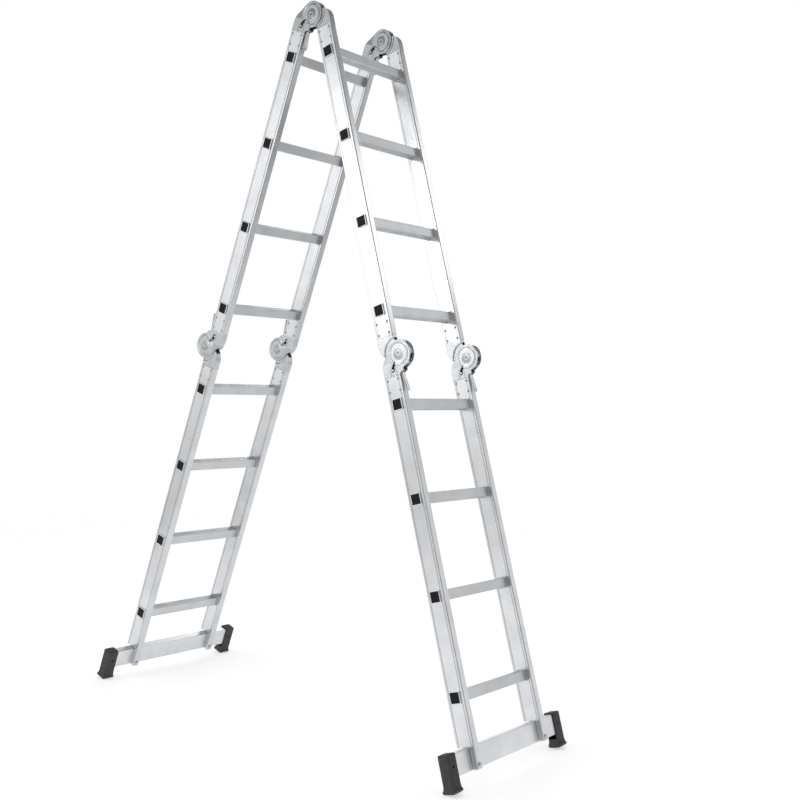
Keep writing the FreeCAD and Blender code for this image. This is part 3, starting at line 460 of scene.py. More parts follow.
# The rivets' colours are a little darker than the leaves': painted shade of their domed heads.
rivet_finish = zinc_plated("aluminium_blind_rivets", ("C0C3C5", "A9ACAF"), (0.30, 0.40), 3)
# Near black steel for the lock bars and foot screws; on the lock bars the black is painted shade of
# the slots.
black_finish, black_tree, black_shader = new_material(
    "near_black_steel", metallic=0.9, roughness=0.45)
tint(black_tree, black_shader, grain(black_tree, (3, 3, 3)), "161718", "0B0C0D")
steel = (leaf_finish, lever_finish, pin_finish, rivet_finish, black_finish)
print("steel finishes:", [finish.name for finish in steel])

# %% [markdown]
# ## Plastic and rubber
#
# The rungs' end plugs are black polypropylene from a spark-eroded mould: half glossy, with a
# pebbled face. The feet are black rubber, which is duller and greyer. Both are moulded, so one
# recipe serves: a colour that drifts over a centimetre or two, and pebbles that break the gloss.
# Real pebbles are a few tenths of a millimetre wide, and are drawn coarser too: 3 mm on the plugs
# and 1.2 mm on the feet.

# %% Polymers
MOULD_DRIFT = 14.0  # the drift of a moulded piece's colour


def moulded(name, colours, rough, pebble, depth, ior, gloss=0.5):
    """A moulded polymer: its colour drifts a little, and a fine pebble breaks the gloss."""
    material, tree, principled = new_material(name, ior=ior, specular_ior_level=gloss)
    tint(tree, principled, grain(tree, (MOULD_DRIFT,) * 3, detail=4.0), *colours)
    pebbles = grain(tree, (pebble, pebble, pebble), detail=3.0)
    vary(tree, principled, "Roughness", pebbles, *rough)
    emboss(tree, principled, pebbles, depth)
    return material


# Two colours, the range of roughness, the pebbles' width and height, and the index of refraction.
plug_finish = moulded(
    "black_polypropylene", ("131416", "08090A"), (0.35, 0.6), 3.0, 0.35, 1.49, gloss=0.2)
foot_finish = moulded("black_rubber", ("3A3B3A", "2E2F2F"), (0.6, 0.8), 1.2, 0.06, 1.52)
print("polymer finishes:", plug_finish.name, foot_finish.name)

# %% [markdown]
# ## Finish the construction's own pieces
#
# A construction node keeps its mesh, and only gets its material. The node's name says what it is,
# so a table from words to finishes does it, and the first word that fits wins. Some of these nodes
# are replaced later by softer shapes, and keep their finish under them.

# %% Assign
def finish_for(node):
    """The finish of a construction node, by the words in its name."""
    leg = node.split("_")[0]
    words = {
        "stile": stile_finish.get(leg), "rung_plugs": plug_finish, "_rung_": rung_finish,
        "stabiliser_bar": bar_finish, "foot": foot_finish, "hinge_pins": pin_finish,
        "leaf_rivets": rivet_finish, "bar_fasteners": pin_finish, "leaf": leaf_finish,
        "lever": lever_finish,
    }
    return next(finish for word, finish in words.items() if word in node)


for name, node in nodes.items():
    node.data.materials.clear()
    node.data.materials.append(finish_for(name))
print("finished", len(nodes), "nodes")

# %% [markdown]
# ## New pieces as surfaces
#
# Every new piece is a closed profile carried along a path: an array of rings, where rings[i, j] is
# point j of the profile at step i. One function makes its faces. Modelling by hand would give the
# same surface, but a formula keeps every size a number that can be checked. A shell that came out
# inside out has a negative volume, so its faces are turned round.

# %% Skins
def skin(rings, closed=False):
    """The shell over rings[i, j]: quads join neighbouring rings, and caps end an open path."""
    steps, around = rings.shape[:2]
    index = np.arange(steps * around).reshape(steps, around)
    here = index if closed else index[:-1]
    there = np.roll(index, -1, axis=0) if closed else index[1:]
    quads = np.stack([here, there, np.roll(there, -1, axis=1), np.roll(here, -1, axis=1)], axis=-1)
    faces = quads.reshape(-1, 4).tolist()
    if not closed:
        faces += [index[0].tolist(), index[-1][::-1].tolist()]
    points = rings.reshape(-1, 3)
    if volume(points, faces) < 0:
        faces = [face[::-1] for face in faces]
    return points, faces


def volume(points, faces):
    """Six times a shell's volume, as a sum of triple products over each face's fan."""
    total = 0.0
    for count in {len(face) for face in faces}:
        corners = points[np.array([face for face in faces if len(face) == count])]
        first, second, third = corners[:, :1], corners[:, 1:-1], corners[:, 2:]
        total += np.sum(first * np.cross(second, third))
    return total


CUBE = np.array([[[0, 0, z], [1, 0, z], [1, 1, z], [0, 1, z]] for z in (0.0, 1.0)])
print("a unit cube's six volumes:", volume(*skin(CUBE)))

# %% [markdown]
# ## From a surface to a piece
#
# A piece is a mesh in its final place, smooth where its faces meet softly and sharp where they meet at
# more than 35 degrees. It also gets its finish, the body that carries it, and the construction nodes
# it stands for, which are hidden.

# %% Pieces
def new_mesh(name, shells):
    """One mesh of several shells."""
    starts = np.cumsum([0] + [len(points) for points, _ in shells])
    faces = [
        [corner + start for corner in face]
        for (_, shell), start in zip(shells, starts.tolist()) for face in shell
    ]
    mesh = bpy.data.meshes.new(name)
    mesh.from_pydata(np.concatenate([points for points, _ in shells]).tolist(), [], faces)
    return mesh


SHARP = math.radians(35)  # between the normals of two faces


def add_piece(name, shells, finish, body, replaced=()):
    """Put a piece in the scene: its shells, its finish, the body it rides on and what it replaces."""
    mesh = new_mesh(name, shells)
    mesh.polygons.foreach_set("use_smooth", [True] * len(mesh.polygons))
    mesh.set_sharp_from_angle(angle=SHARP)
    mesh.materials.append(finish)
    piece = bpy.data.objects.new(name, mesh)
    bpy.context.scene.collection.objects.link(piece)
    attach(piece, body)
    if replaced:
        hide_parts(*replaced)
    return piece


print("edges over", round(math.degrees(SHARP)), "degrees stay sharp")

# %% [markdown]
# ## Where the painted shade is
#
# Soft steps between two levels, and bands about a line, are all that the pressing and its painted
# shade need. Both are plain functions of a number, so they work on whole arrays of places at once.

# %% Steps, bands and painted shade
# How dark each hinge is painted all over, and how much more painted shade it gets in its hollows: the
# top one most.
SHADE_LEVELS = {"top": (0.28, 0.8), "front": (0.0, 0.35), "rear": (0.14, 0.35)}


def paint_shade(piece, find, darkness, least, more):
    """Store how much shade is painted at each point of a piece, from its place p, q in a hinge."""
    points = np.empty(len(piece.data.vertices) * 3)
    piece.data.vertices.foreach_get("co", points)
    values = least + more * darkness(*find(points.reshape(-1, 3).T))
    piece.data.attributes.new("painted_shade", "FLOAT", "POINT").data.foreach_set("value", values)
    return piece


def band(value, middle, width, dark=1.0):
    """dark at the middle of a band, and falling evenly to 0 at its width on either side."""
    return dark * np.clip(1 - np.abs(value - middle) / width, 0, 1)


def smooth_step(value, start, end):
    """0 before start, 1 after end, and a smooth S between: 3 t squared less 2 t cubed."""
    t = np.clip((value - start) / (end - start), 0, 1)
    return t * t * (3 - 2 * t)


print("half way up a step:", smooth_step(0.5, 0, 1), "and half way down a band:", band(0.5, 0, 1))

# %% [markdown]
# ## Holes
#
# A hole could be part of a surface's own rows, but a slot that bends doesn't follow them. Blender's
# exact boolean cuts it cleanly instead. The cutting objects are scratch, and are removed again.

# %% Cutting
def cut(shell, *cutters):
    """A shell less the cutters, by Blender's exact boolean, applied."""
    objects = []
    for part in (shell, *cutters):
        thing = bpy.data.objects.new("cutting", new_mesh("cutting", [part]))
        bpy.context.scene.collection.objects.link(thing)
        objects.append(thing)
    for cutter in objects[1:]:
        boolean = objects[0].modifiers.new("cut", "BOOLEAN")
        boolean.operation, boolean.solver, boolean.object = "DIFFERENCE", "EXACT", cutter
    graph = bpy.context.evaluated_depsgraph_get()
    result = bpy.data.meshes.new_from_object(objects[0].evaluated_get(graph))
    points = np.empty(len(result.vertices) * 3)
    result.vertices.foreach_get("co", points)
    faces = [list(polygon.vertices) for polygon in result.polygons]
    for thing in objects:
        bpy.data.objects.remove(thing)
    return points.reshape(-1, 3), faces


print("a cube less a shifted one has", len(cut(skin(CUBE), skin(CUBE + 0.25))[1]), "faces")

# %% [markdown]
# ## Pressed hinge leaves
#
# A leaf is two plates of 2.5 mm steel, pressed to shape and joined round their edge by a rim. Each
# plate is worked out in polar coordinates about the hinge's axis: for each direction theta the
# plate runs from the pin's hole to its outline, and its height is a function of the place. Polar
# rows make the round steps about the axis crisp with few faces. The sizes below are shared by all
# three hinges.

# %% Sizes of a hinge
PIVOT_OFFSET = 8.0  # from the stile's nearer face out to the hinge's axis
STILE_DEPTH, STILE_END = 60.0, 62.0  # how deep a stile is along p, and where it ends along q
BACK = -(PIVOT_OFFSET + STILE_DEPTH)  # a leaf's straight back edge
DRUM_RADIUS, DISC_RADIUS, NECK_RADIUS = 42.0, 39.0, 52.0  # the covers, the disc, the step behind it
DRUM_HALF, PLATE, PLATE_GAP = 11.0, 2.5, 0.3  # half a hinge's thickness, a plate's, and its play
PIN_HOLE = 6.05
print("a hinge is", 2 * DRUM_HALF, "mm thick and", 2 * DRUM_RADIUS, "mm across its covers")

# %% [markdown]
# ## The brow
#
# Seen from the side, a leaf is as wide as the stile where it leaves it, and its back then bends in
# to the hinge's middle line by a round brow. It could be drawn as a spline, but it is an arc of a
# circle on the real leaf, and both leaves have the same one.

# %% The brow
BROW_RADIUS, BROW_START, BROW_STEP, BROW_POINTS = 46.0, 36.0, 17.0, 14


def brow():
    """The curve from a leaf's straight back in to the hinge's middle line: an arc tangent to the
    back, whose centre is level with the curve's start."""
    last = math.acos((BROW_RADIUS - BROW_STEP) / BROW_RADIUS)
    angles = math.pi + np.linspace(0, last, BROW_POINTS)
    centre = BACK + BROW_RADIUS
    p, q = centre + BROW_RADIUS * np.cos(angles), BROW_START + BROW_RADIUS * np.sin(angles)
    return np.stack([p, q], -1)


print("the brow ends at p, q =", brow()[-1].round(2))

# %% [markdown]
# ## The outlines
#
# A cover leaf's front edge runs from its round to the stile, stepping back to let the lever by. A
# notched leaf has a narrower neck, with its disc in front. Only the brow and the straight edges are
# listed here, as corners in p and q: the round of each leaf is a least radius in each direction.

# %% Outlines of the leaves
SHOULDER = (-34.82, -23.49)  # where the line on from the brow meets the cover's round
COVER_FRONT = [(6, 39), (6, 50), (-7, 55.6), (-PIVOT_OFFSET, STILE_END)]
NECK_FRONT = -9.0
COVER_OUTLINE = np.concatenate([brow(), [SHOULDER, *COVER_FRONT, (BACK, STILE_END)]])
NECK_OUTLINE = np.concatenate([
    brow(), [(-17, 0.3), (NECK_FRONT, 17), (NECK_FRONT, STILE_END), (BACK, STILE_END)],
])
BACK_EDGE = np.concatenate([brow()[::-1], [(BACK, 45), (BACK, STILE_END)]])
print(len(COVER_OUTLINE), "corners on a cover and", len(NECK_OUTLINE), "on a neck")

# %% [markdown]
# ## From an outline to polar rows
#
# A polar plate has to know how far it goes in each direction. That is where a ray from the axis
# crosses the outline, which two cross products give for all rays and all sides at once. The
# outline's corners get rays of their own, or they would be cut off.

# %% Rays
ROUNDING = 1e-9  # so that a ray through a corner still meets its sides


def cross(a, b):
    """The third component of a flat cross product, for arrays of pairs."""
    return a[..., 0] * b[..., 1] - a[..., 1] * b[..., 0]


def reach(theta, outline):
    """How far a ray from the axis goes in each direction before it leaves an outline: the furthest
    of its crossings with the outline's sides."""
    ray = np.stack([np.cos(theta), np.sin(theta)], -1)[:, None]
    side = (np.roll(outline, -1, axis=0) - outline)[None]
    with np.errstate(divide="ignore", invalid="ignore"):
        along = cross(outline[None], ray) / cross(ray, side)
        distance = cross(outline[None], side) / cross(ray, side)
    hit = (along >= -ROUNDING) & (along <= 1 + ROUNDING) & (distance > 0)
    return np.where(hit, distance, 0).max(axis=1)


def directions(outline, step=2.5):
    """Directions for a plate: evenly spaced by step degrees, with the outline's own corners among
    them in place of the nearest ones."""
    corners = np.degrees(np.arctan2(outline[:, 1], outline[:, 0])) % 360
    even = np.arange(0, 360, step)
    spare = np.abs((even[:, None] - corners[None] + 180) % 360 - 180).min(axis=1) > step / 4
    return np.radians(np.unique(np.concatenate([even[spare], corners]).round(4)))


print("a cover plate has", len(directions(COVER_OUTLINE)), "directions")

# %% [markdown]
# ## What is pressed into the plates
#
# The cover leaf's outer plates carry the stamping that catches the light: a raised round about the
# pin, a low collar round the pin's head, two thin rings, and a raised land round the lock slot, on
# the side of the lever. The notched leaf's plates step in where they slip between the covers. Every
# one of these is a soft step of a distance, so they are added up in one height.

# %% Sizes of the stamping
# The dome about the pin, the land round the slot, the pad beside it and the pin's collar: where
# each one ends, how high it stands, and how far its soft edge reaches.
DOME_RADIUS, DOME_HEIGHT, DOME_EDGE = 34.0, 1.2, 0.6
LAND_CENTRE, LAND_RADIUS, LAND_HEIGHT, LAND_EDGE = (-15.0, 45.0), 25.0, 0.8, 0.8
PAD_P, PAD_Q, PAD_HEIGHT, PAD_EDGE = -19.0, 30.0, 0.6, 0.8
COLLAR_RADIUS, COLLAR_HEIGHT, COLLAR_INSIDE, COLLAR_OUTSIDE = 18.0, 0.5, 2.2, 0.4
RIDGES = ((30.8, 0.9, -0.55), (37.0, 0.8, 0.3))  # each thin ring's radius, width and height
NECK_STEP = (NECK_RADIUS - 1.5, NECK_RADIUS + 1)  # the radii between which a neck steps in
# The radii of a plate's rows, close together where the height changes.
ROWS = np.array([
    PIN_HOLE, 11, 15, 15.6, 16.2, 16.8, 17.4, 18, 18.6, 20, 23, 26, 28.6, 29.5, 30.1, 30.8, 31.5, 32.1,
    32.7, 33.2, 33.6, 34, 34.4, 34.9, 35.7, 36.4, 37, 37.6, 38.2])
print(len(ROWS), "rows, the closest", round(float(np.diff(ROWS).min()), 2), "mm apart")

# %% [markdown]
# ## The height of a plate
#
# The height is one function of p and q. Sculpting or a displacement texture could raise the same
# shapes, but a sum of soft steps is exact, and the painted shade can follow the very same distances.

# %% Heights of the plates
def soft_edge(value, at, half):
    """A smooth step from 0 to 1 that is half as far to either side of its middle."""
    return smooth_step(value, at - half, at + half)


def from_land(p, q):
    """How far a place is from the land's middle line, which runs on from its centre to the stile."""
    return np.hypot(p - LAND_CENTRE[0], np.minimum(q - LAND_CENTRE[1], 0))


def cover_height(p, q):
    """A cover plate's outside: the flat, the dome, the collar, the land round the slot with a pad
    beside the slot, each with soft edges, and two thin pressed rings that are bell curves of r."""
    r = np.hypot(p, q)
    dome = 1 - soft_edge(r, DOME_RADIUS, DOME_EDGE)
    collar = 1 - smooth_step(r, COLLAR_RADIUS - COLLAR_INSIDE, COLLAR_RADIUS + COLLAR_OUTSIDE)
    land = 1 - soft_edge(from_land(p, q), LAND_RADIUS, LAND_EDGE)
    pad = soft_edge(p, PAD_P, PAD_EDGE) * soft_edge(q, PAD_Q, PAD_EDGE)
    clear = 1 - land
    rings = sum(height * clear * np.exp(-((r - at) / width) ** 2) for at, width, height in RIDGES)
    raised = DOME_HEIGHT * dome + COLLAR_HEIGHT * collar + LAND_HEIGHT * land + PAD_HEIGHT * pad
    return DRUM_HALF + raised + rings


def neck_height(p, q):
    """A notched leaf's outside: full thickness past the neck, and between the covers inside it."""
    inside = DRUM_HALF - PLATE - PLATE_GAP
    return inside + (PLATE + PLATE_GAP) * smooth_step(np.hypot(p, q), *NECK_STEP)


print("a cover is", round(float(cover_height(25.0, 0.0)), 2), "mm from the middle on its dome")

# %% [markdown]
# ## Painted shade on the leaves
#
# Shade is painted into the seams of a hinge: round the pin's head, along the foot of the dome and of
# the land, beside the pad and out at the rim. Each is a band about the same radius or line as the step
# that holds it, so the painted shade follows the shape.

# %% Painted shade on the leaves
# Each band of painted shade: its middle, how far it goes to either side, and how dark it is.
DOME_SHADE, OUTER_SHADE, COLLAR_SHADE = (32.5, 2.6, 0.9), (38.2, 1.6, 0.55), (16.2, 1.8, 0.8)
LAND_SHADE, PAD_SHADE = (LAND_RADIUS, 2.0, 0.7), (PAD_P, 1.8, 0.5)
NECK_SHADE = (NECK_RADIUS - 0.5, 3.5, 0.75)
RIM_SHADE, RIM_UNSHADED_FROM = 0.5, 20  # how dark the painted shade at the rim is, and the q past which the rim has none
FADE_SLOPE, DOME_FADE = 0.6, (-30, 0)  # the slanted line over which the dome's band fades in


def cover_shade(p, q):
    """The darkest of a cover plate's bands of painted shade. The dome's one fades out towards the
    stile, the land's one stops at the collar, and the rim is dark only away from the stile."""
    r, land_off = np.hypot(p, q), from_land(p, q)
    clear = smooth_step(land_off, LAND_RADIUS - 2, LAND_RADIUS + 1)
    dome = band(r, *DOME_SHADE) * clear * smooth_step(p - FADE_SLOPE * q, *DOME_FADE)
    outer = band(r, *OUTER_SHADE) * clear
    collar = band(r, *COLLAR_SHADE)
    land = band(land_off, *LAND_SHADE) * smooth_step(r, COLLAR_RADIUS, COLLAR_RADIUS + 3)
    rim = RIM_SHADE * smooth_step(r, DRUM_RADIUS - 2, DRUM_RADIUS) * (q < RIM_UNSHADED_FROM)
    pad = band(p, *PAD_SHADE) * smooth_step(q, PAD_Q - 2, PAD_Q)
    return np.maximum.reduce([dome, outer, collar, land, rim, pad])


def neck_shade(p, q):
    """Painted shade on a notched leaf: the step where it goes in between the covers."""
    return band(np.hypot(p, q), *NECK_SHADE)


print("grime at the foot of the dome:", round(float(cover_shade(DOME_SHADE[0], 0.0)), 2))

# %% [markdown]
# ## A formed plate
#
# A plate is a sheet with a thickness, so its section in each direction is closed: out along the
# front, round the sheared edge, which the press leaves a little rolled, and back along the inside.
# A Solidify modifier would do the same for a flat sheet, but a pressed cover has a flat inside.

# %% Plates
ROLL_STEPS, SPREAD_ROWS = 4, 20
COVER_WAIST, NECK_WAIST, NECK_ROLL = 38.2, 34, 0.8  # where rows of one radius end; the neck's edge


def flat(p, q):
    """The thickness of a plain plate."""
    return np.full_like(p, PLATE)


def under_cover(p, q):
    """A cover plate's thickness: its inside is flat, whatever is pressed into its outside."""
    return cover_height(p, q) - (DRUM_HALF - PLATE)


def plate(place, face, theta, outer, height, thick, waist, roll=1.0):
    """A formed plate. In each direction its closed profile runs out over the outside, on rows of
    the same radius up to the waist and then on rows spread to the outline, rolls over the edge by
    a quarter round, and comes back along the inside."""
    even = ROWS[ROWS <= waist]
    spread = np.linspace(0, 1, SPREAD_ROWS)[1:]
    reach_flat = outer[:, None] - roll
    front = np.concatenate([
        np.broadcast_to(even, (len(theta), len(even))), even[-1] + spread * (reach_flat - even[-1])
    ], axis=1)
    turn = np.linspace(0, math.pi / 2, ROLL_STEPS + 1)[1:]
    edge = reach_flat + roll * np.sin(turn)
    radii = np.concatenate([front, edge, outer[:, None], front[:, ::-1]], axis=1)
    p, q = radii * np.cos(theta)[:, None], radii * np.sin(theta)[:, None]
    x = height(p, q)
    rows = front.shape[1]
    x[:, rows:rows + ROLL_STEPS] -= roll * (1 - np.cos(turn))
    x[:, rows + ROLL_STEPS:] -= thick(p, q)[:, rows + ROLL_STEPS:]
    middle, sign = face
    return skin(place(middle + sign * x, p, q), closed=True)


print("a plate's edge rolls over in", ROLL_STEPS, "steps")

# %% [markdown]
# ## Rims and tongues
#
# Between its two plates a leaf has a rim along the back, which closes it, and a tongue that goes
# into the stile's end, where the rivets hold it. Both are plain pieces of bar: a strip along a
# path, and a box with round edges along q.

# %% Rims and tongues
RIM_THICK = 3.0
INSERT_DEPTH, INSERT_HALF, INSERT_PLAY, INSERT_CORNER = 50.0, 10.2, 1.8, 3.0
INSERT_START = 2  # how far before the stile's end the tongue starts


def wall(place, middle, path, thickness, half):
    """A strip of rim along a path in p, q, with its inner side thickness to the path's left."""
    along = np.gradient(path, axis=0)
    along /= np.linalg.norm(along, axis=1)[:, None]
    inner = path + thickness * np.stack([-along[:, 1], along[:, 0]], -1)
    p = np.stack([path[:, 0], path[:, 0], inner[:, 0], inner[:, 0]], 1)
    q = np.stack([path[:, 1], path[:, 1], inner[:, 1], inner[:, 1]], 1)
    x = middle + half * np.array([-1, 1, 1, -1])
    return skin(place(np.broadcast_to(x, p.shape), p, q))


def insert(place, middle):
    """The tongue inside the stile, along q: each quarter of a circle is pushed out to its own
    corner of a rectangle."""
    turns = np.linspace(0, 2 * math.pi, 24, endpoint=False)
    half_p = STILE_DEPTH / 2 - INSERT_PLAY
    p_sign, x_sign = np.sign(np.cos(turns)).round(), np.sign(np.sin(turns)).round()
    p = p_sign * (half_p - INSERT_CORNER) + INSERT_CORNER * np.cos(turns)
    x = x_sign * (INSERT_HALF - INSERT_CORNER) + INSERT_CORNER * np.sin(turns)
    q = np.linspace(STILE_END - INSERT_START, STILE_END + INSERT_DEPTH, 6)[:, None]
    centre = BACK + STILE_DEPTH / 2
    return skin(place(middle + x[None], centre + p[None], q + 0 * p[None]))


print("a tongue goes", INSERT_DEPTH, "mm into its stile")

# %% [markdown]
# ## The lock slot
#
# The lock bar shows through a slot in both cover plates: a thick radial part, where the bar moves,
# and a thin hooked tail, where the spring's end is hung. The slot is a line with a changing width,
# cut right through, and the same kind of line makes the lever's arm later.

# %% The slot
LOCK_ANGLE = math.radians(130)
LOCK_OUT = np.array([math.cos(LOCK_ANGLE), math.sin(LOCK_ANGLE)])
SLOT_PATH = np.array([30.5, 34, 44, 47.5])[:, None] * LOCK_OUT
HOOK_PATH = np.array([(-26, 38), (-25.5, 42.5), (-27.5, 46), (-31, 47.5), (-34.5, 46.5)])
SLOT_HALF, HOOK_HALF, CUT_HALF = 4.3, 2.0, 20


def stroke(place, middle, path, half_width, half_length):
    """A bar across x whose section is a line along a path with round ends: the path moved to either
    side by its half width, and a half circle about each end."""
    along = np.gradient(path, axis=0)
    along /= np.linalg.norm(along, axis=1)[:, None]
    half = np.broadcast_to(half_width, len(path))[:, None]
    across = np.stack([-along[:, 1], along[:, 0]], -1) * half
    turn = np.linspace(math.pi / 2, -math.pi / 2, 9)[1:-1, None]
    end = path[-1] + half[-1] * np.cos(turn) * along[-1] + np.sin(turn) * across[-1]
    start = path[0] - half[0] * np.cos(turn) * along[0] - np.sin(turn) * across[0]
    section = np.concatenate([path + across, end, (path - across)[::-1], start])
    x = middle + half_length * np.array([-1.0, 1.0])[:, None]
    return skin(place(x, section[None, :, 0], section[None, :, 1]))


print("the slot is", 2 * SLOT_HALF, "mm wide")

# %% [markdown]
# ## Cover leaves
#
# A cover leaf is put together as it is on the bench: two plates with the slot through them, a rim
# and a tongue. It rides on the section that it is riveted to, and stands for the plain leaf of the
# construction.

# %% Cover leaves
def cover_leaf(hinge, side_name, side):
    """The leaf whose plates cover the disc: two plates with the slot, a rim and a tongue."""
    section, upper_end = LEAVES[hinge]["cover"]
    place, find = hinge_frame(section, upper_end)
    middle = side * STILE_X
    theta = directions(COVER_OUTLINE)
    outer = np.maximum(reach(theta, COVER_OUTLINE), DRUM_RADIUS)
    slot = stroke(place, middle, SLOT_PATH, SLOT_HALF, CUT_HALF)
    hook = stroke(place, middle, HOOK_PATH, HOOK_HALF, CUT_HALF)
    whole = [
        plate(place, (middle, face), theta, outer, cover_height, under_cover, COVER_WAIST)
        for face in (-1, 1)
    ]
    plates = [cut(shell, slot, hook) for shell in whole]
    rim = wall(place, middle, BACK_EDGE, -RIM_THICK, DRUM_HALF - PLATE)
    name = f"{hinge}_{side_name}_cover_leaf"
    piece = add_piece(
        f"pressed_{name}", [*plates, rim, insert(place, middle)], leaf_finish, section,
        [name],
    )
    # Painted shade in the cover leaf's seams, rim and steps.
    return paint_shade(piece, find, cover_shade, *SHADE_LEVELS[hinge])


print("cover leaves are on", [LEAVES[hinge]["cover"][0] for hinge in LEAVES])

# %% [markdown]
# ## The notched disc
#
# Between the covers turns the other leaf's disc. It has a notch for each fold that the hinge locks
# at, where the lock bar drops in. Between the notches, short arcs of rim join its two plates, clear
# of the notches by enough for the lever's arm.

# %% The disc
FOLDS = {"top": (0, 144.5, 180), "front": (0, 90, 180), "rear": (0, 90, 180)}
NOTCH_HALF, NOTCH_FLOOR = 4.3, 35.4
NOTCH_TURN = math.asin(NOTCH_HALF / DISC_RADIUS)
# The arcs of rim, in degrees about the axis.
DISC_ARCS = {
    "top": [(-102, 2), (76, 100)],
    "front": [(-102, -52), (-12, 38), (76, 100)],
    "rear": [(-102, -52), (-12, 38), (76, 100)],
}
RIM_INNER, RIM_OUTER, RIM_HALF = 33.0, 36.8, DRUM_HALF - PLATE - PLATE_GAP - 1


def disc_outline(theta, folds):
    """A notched disc's outline: its radius, less where the lock bar drops in at each fold."""
    outer = np.full(len(theta), DISC_RADIUS)
    for fold in folds:
        middle = math.radians(fold) - LOCK_ANGLE
        off = (theta - middle + math.pi) % (2 * math.pi) - math.pi
        outer = np.where(np.abs(off) < NOTCH_TURN, NOTCH_FLOOR, outer)
    return outer


def arc_rim(place, middle, first, last):
    """Part of a ring about the axis, of rectangular section, between two directions in degrees."""
    theta = np.radians(np.linspace(first, last, 2 + round((last - first) / 3)))[:, None]
    radius = np.array([RIM_INNER, RIM_OUTER, RIM_OUTER, RIM_INNER])
    x = middle + RIM_HALF * np.array([-1, -1, 1, 1])
    p, q = radius * np.cos(theta), radius * np.sin(theta)
    return skin(place(np.broadcast_to(x, p.shape), p, q))


print("a notch is", round(math.degrees(2 * NOTCH_TURN), 1), "degrees wide")

# %% [markdown]
# ## Notched leaves
#
# The notched leaf is made like the cover, with the disc's outline in front. A notch has steep sides,
# so each side gets two directions, one just inside it and one just outside.

# %% Notched leaves
def notched_leaf(hinge, side_name, side):
    """The leaf with the notched disc: two stepped plates, rims on both edges and a tongue."""
    section, upper_end = LEAVES[hinge]["notched"]
    place, find = hinge_frame(section, upper_end)
    middle = side * STILE_X
    notch_edges = [
        math.degrees(math.radians(fold) - LOCK_ANGLE + end * NOTCH_TURN * scale)
        for fold in FOLDS[hinge] for end in (-1, 1) for scale in (0.99, 1.01)
    ]
    theta = np.unique(np.concatenate([
        directions(NECK_OUTLINE), np.radians(np.array(notch_edges) % 360)]))
    outer = np.maximum(reach(theta, NECK_OUTLINE), disc_outline(theta, FOLDS[hinge]))
    plates = [
        plate(place, (middle, face), theta, outer, neck_height, flat, NECK_WAIST, roll=NECK_ROLL)
        for face in (-1, 1)
    ]
    front = np.array([(NECK_FRONT, STILE_END), (NECK_FRONT, 57.0), (NECK_FRONT, 53.0)])
    # The back rim leaves out the end of the brow, which is between the covers.
    rims = [
        wall(place, middle, path, -RIM_THICK, DRUM_HALF - PLATE) for path in (BACK_EDGE[4:], front)]
    rims += [arc_rim(place, middle, *arc) for arc in DISC_ARCS[hinge]]
    name = f"{hinge}_{side_name}_notched_leaf"
    piece = add_piece(
        f"pressed_{name}", [*plates, *rims, insert(place, middle)], leaf_finish, section,
        [name],
    )
    # Painted shade at the notched leaf's step between the covers.
    return paint_shade(piece, find, neck_shade, *SHADE_LEVELS[hinge])


for hinge in LEAVES:
    for side_name, side in SIDES.items():
        made = [cover_leaf(hinge, side_name, side), notched_leaf(hinge, side_name, side)]
        print(hinge, side_name, [len(piece.data.polygons) for piece in made], "faces")

# %% [markdown]
# ## Turned pieces
#
# Pins, rods, rivets and screws come off a lathe, so one profile of distance and radius describes
# each: a circle for every point of it, about a line across X. A wire spring is a small circle
# carried round the same kind of line.

# %% Turned pieces
def rod(place, middle, centre, profile, count=24):
    """A turned piece across x: a circle of each radius at each x of the profile."""
    turns = np.linspace(0, 2 * math.pi, count, endpoint=False)
    x, radius = np.array(profile, float).T[:, :, None]
    p, q = centre[0] + radius * np.cos(turns), centre[1] + radius * np.sin(turns)
    return skin(place(middle + np.broadcast_to(x, p.shape), p, q))


def bevelled(half, radius, bevel):
    """The profile of a rod with bevelled ends."""
    inner, small = half - bevel, radius - bevel
    return [(-half, small), (-inner, radius), (inner, radius), (half, small)]


def spring(place, start_x, centre, radius, wire, pitch, turns):
    """A helix across x: a round wire carried round the centre while it moves along x."""
    angle = np.linspace(0, 2 * math.pi * turns, int(24 * turns) + 1)[:, None]
    round_wire = np.linspace(0, 2 * math.pi, 8, endpoint=False)
    out = radius + wire * np.cos(round_wire)
    x = start_x + wire + pitch * angle / (2 * math.pi) + wire * np.sin(round_wire)
    return skin(place(x, centre[0] + out * np.cos(angle), centre[1] + out * np.sin(angle)))


print("a bevelled rod's profile:", bevelled(10, 3, 1))

# %% [markdown]
# ## The lever's finger plate
#
# A lever turns on a pin through its cover leaf, and its finger plate lies along the stile. It is a
# strip of sheet, crowned across so that it is stiff and kind to the fingers, with a round end that
# turns out a little. A grid of distance down and share across gives all of that in one surface.

# %% Finger plates
LEVER_SWING = math.radians(8)
LEVER_GAP, LEVER_START, LEVER_LENGTH, LEVER_HALF, SHEET = 0.5, 7.0, 64.0, 8.0, 2.2
# How high the crown is, how far the end turns out and over what length, and the rounded long edge.
CROWN, TURN_OUT, TURN_LENGTH, EDGE_DROP, EDGE_START = 0.7, 0.5, 14, 0.3, 0.86
STRIP_ROWS, TIP_ROWS, STRIP_POINTS, TIP_BLUNT = 14, 9, 15, 0.12


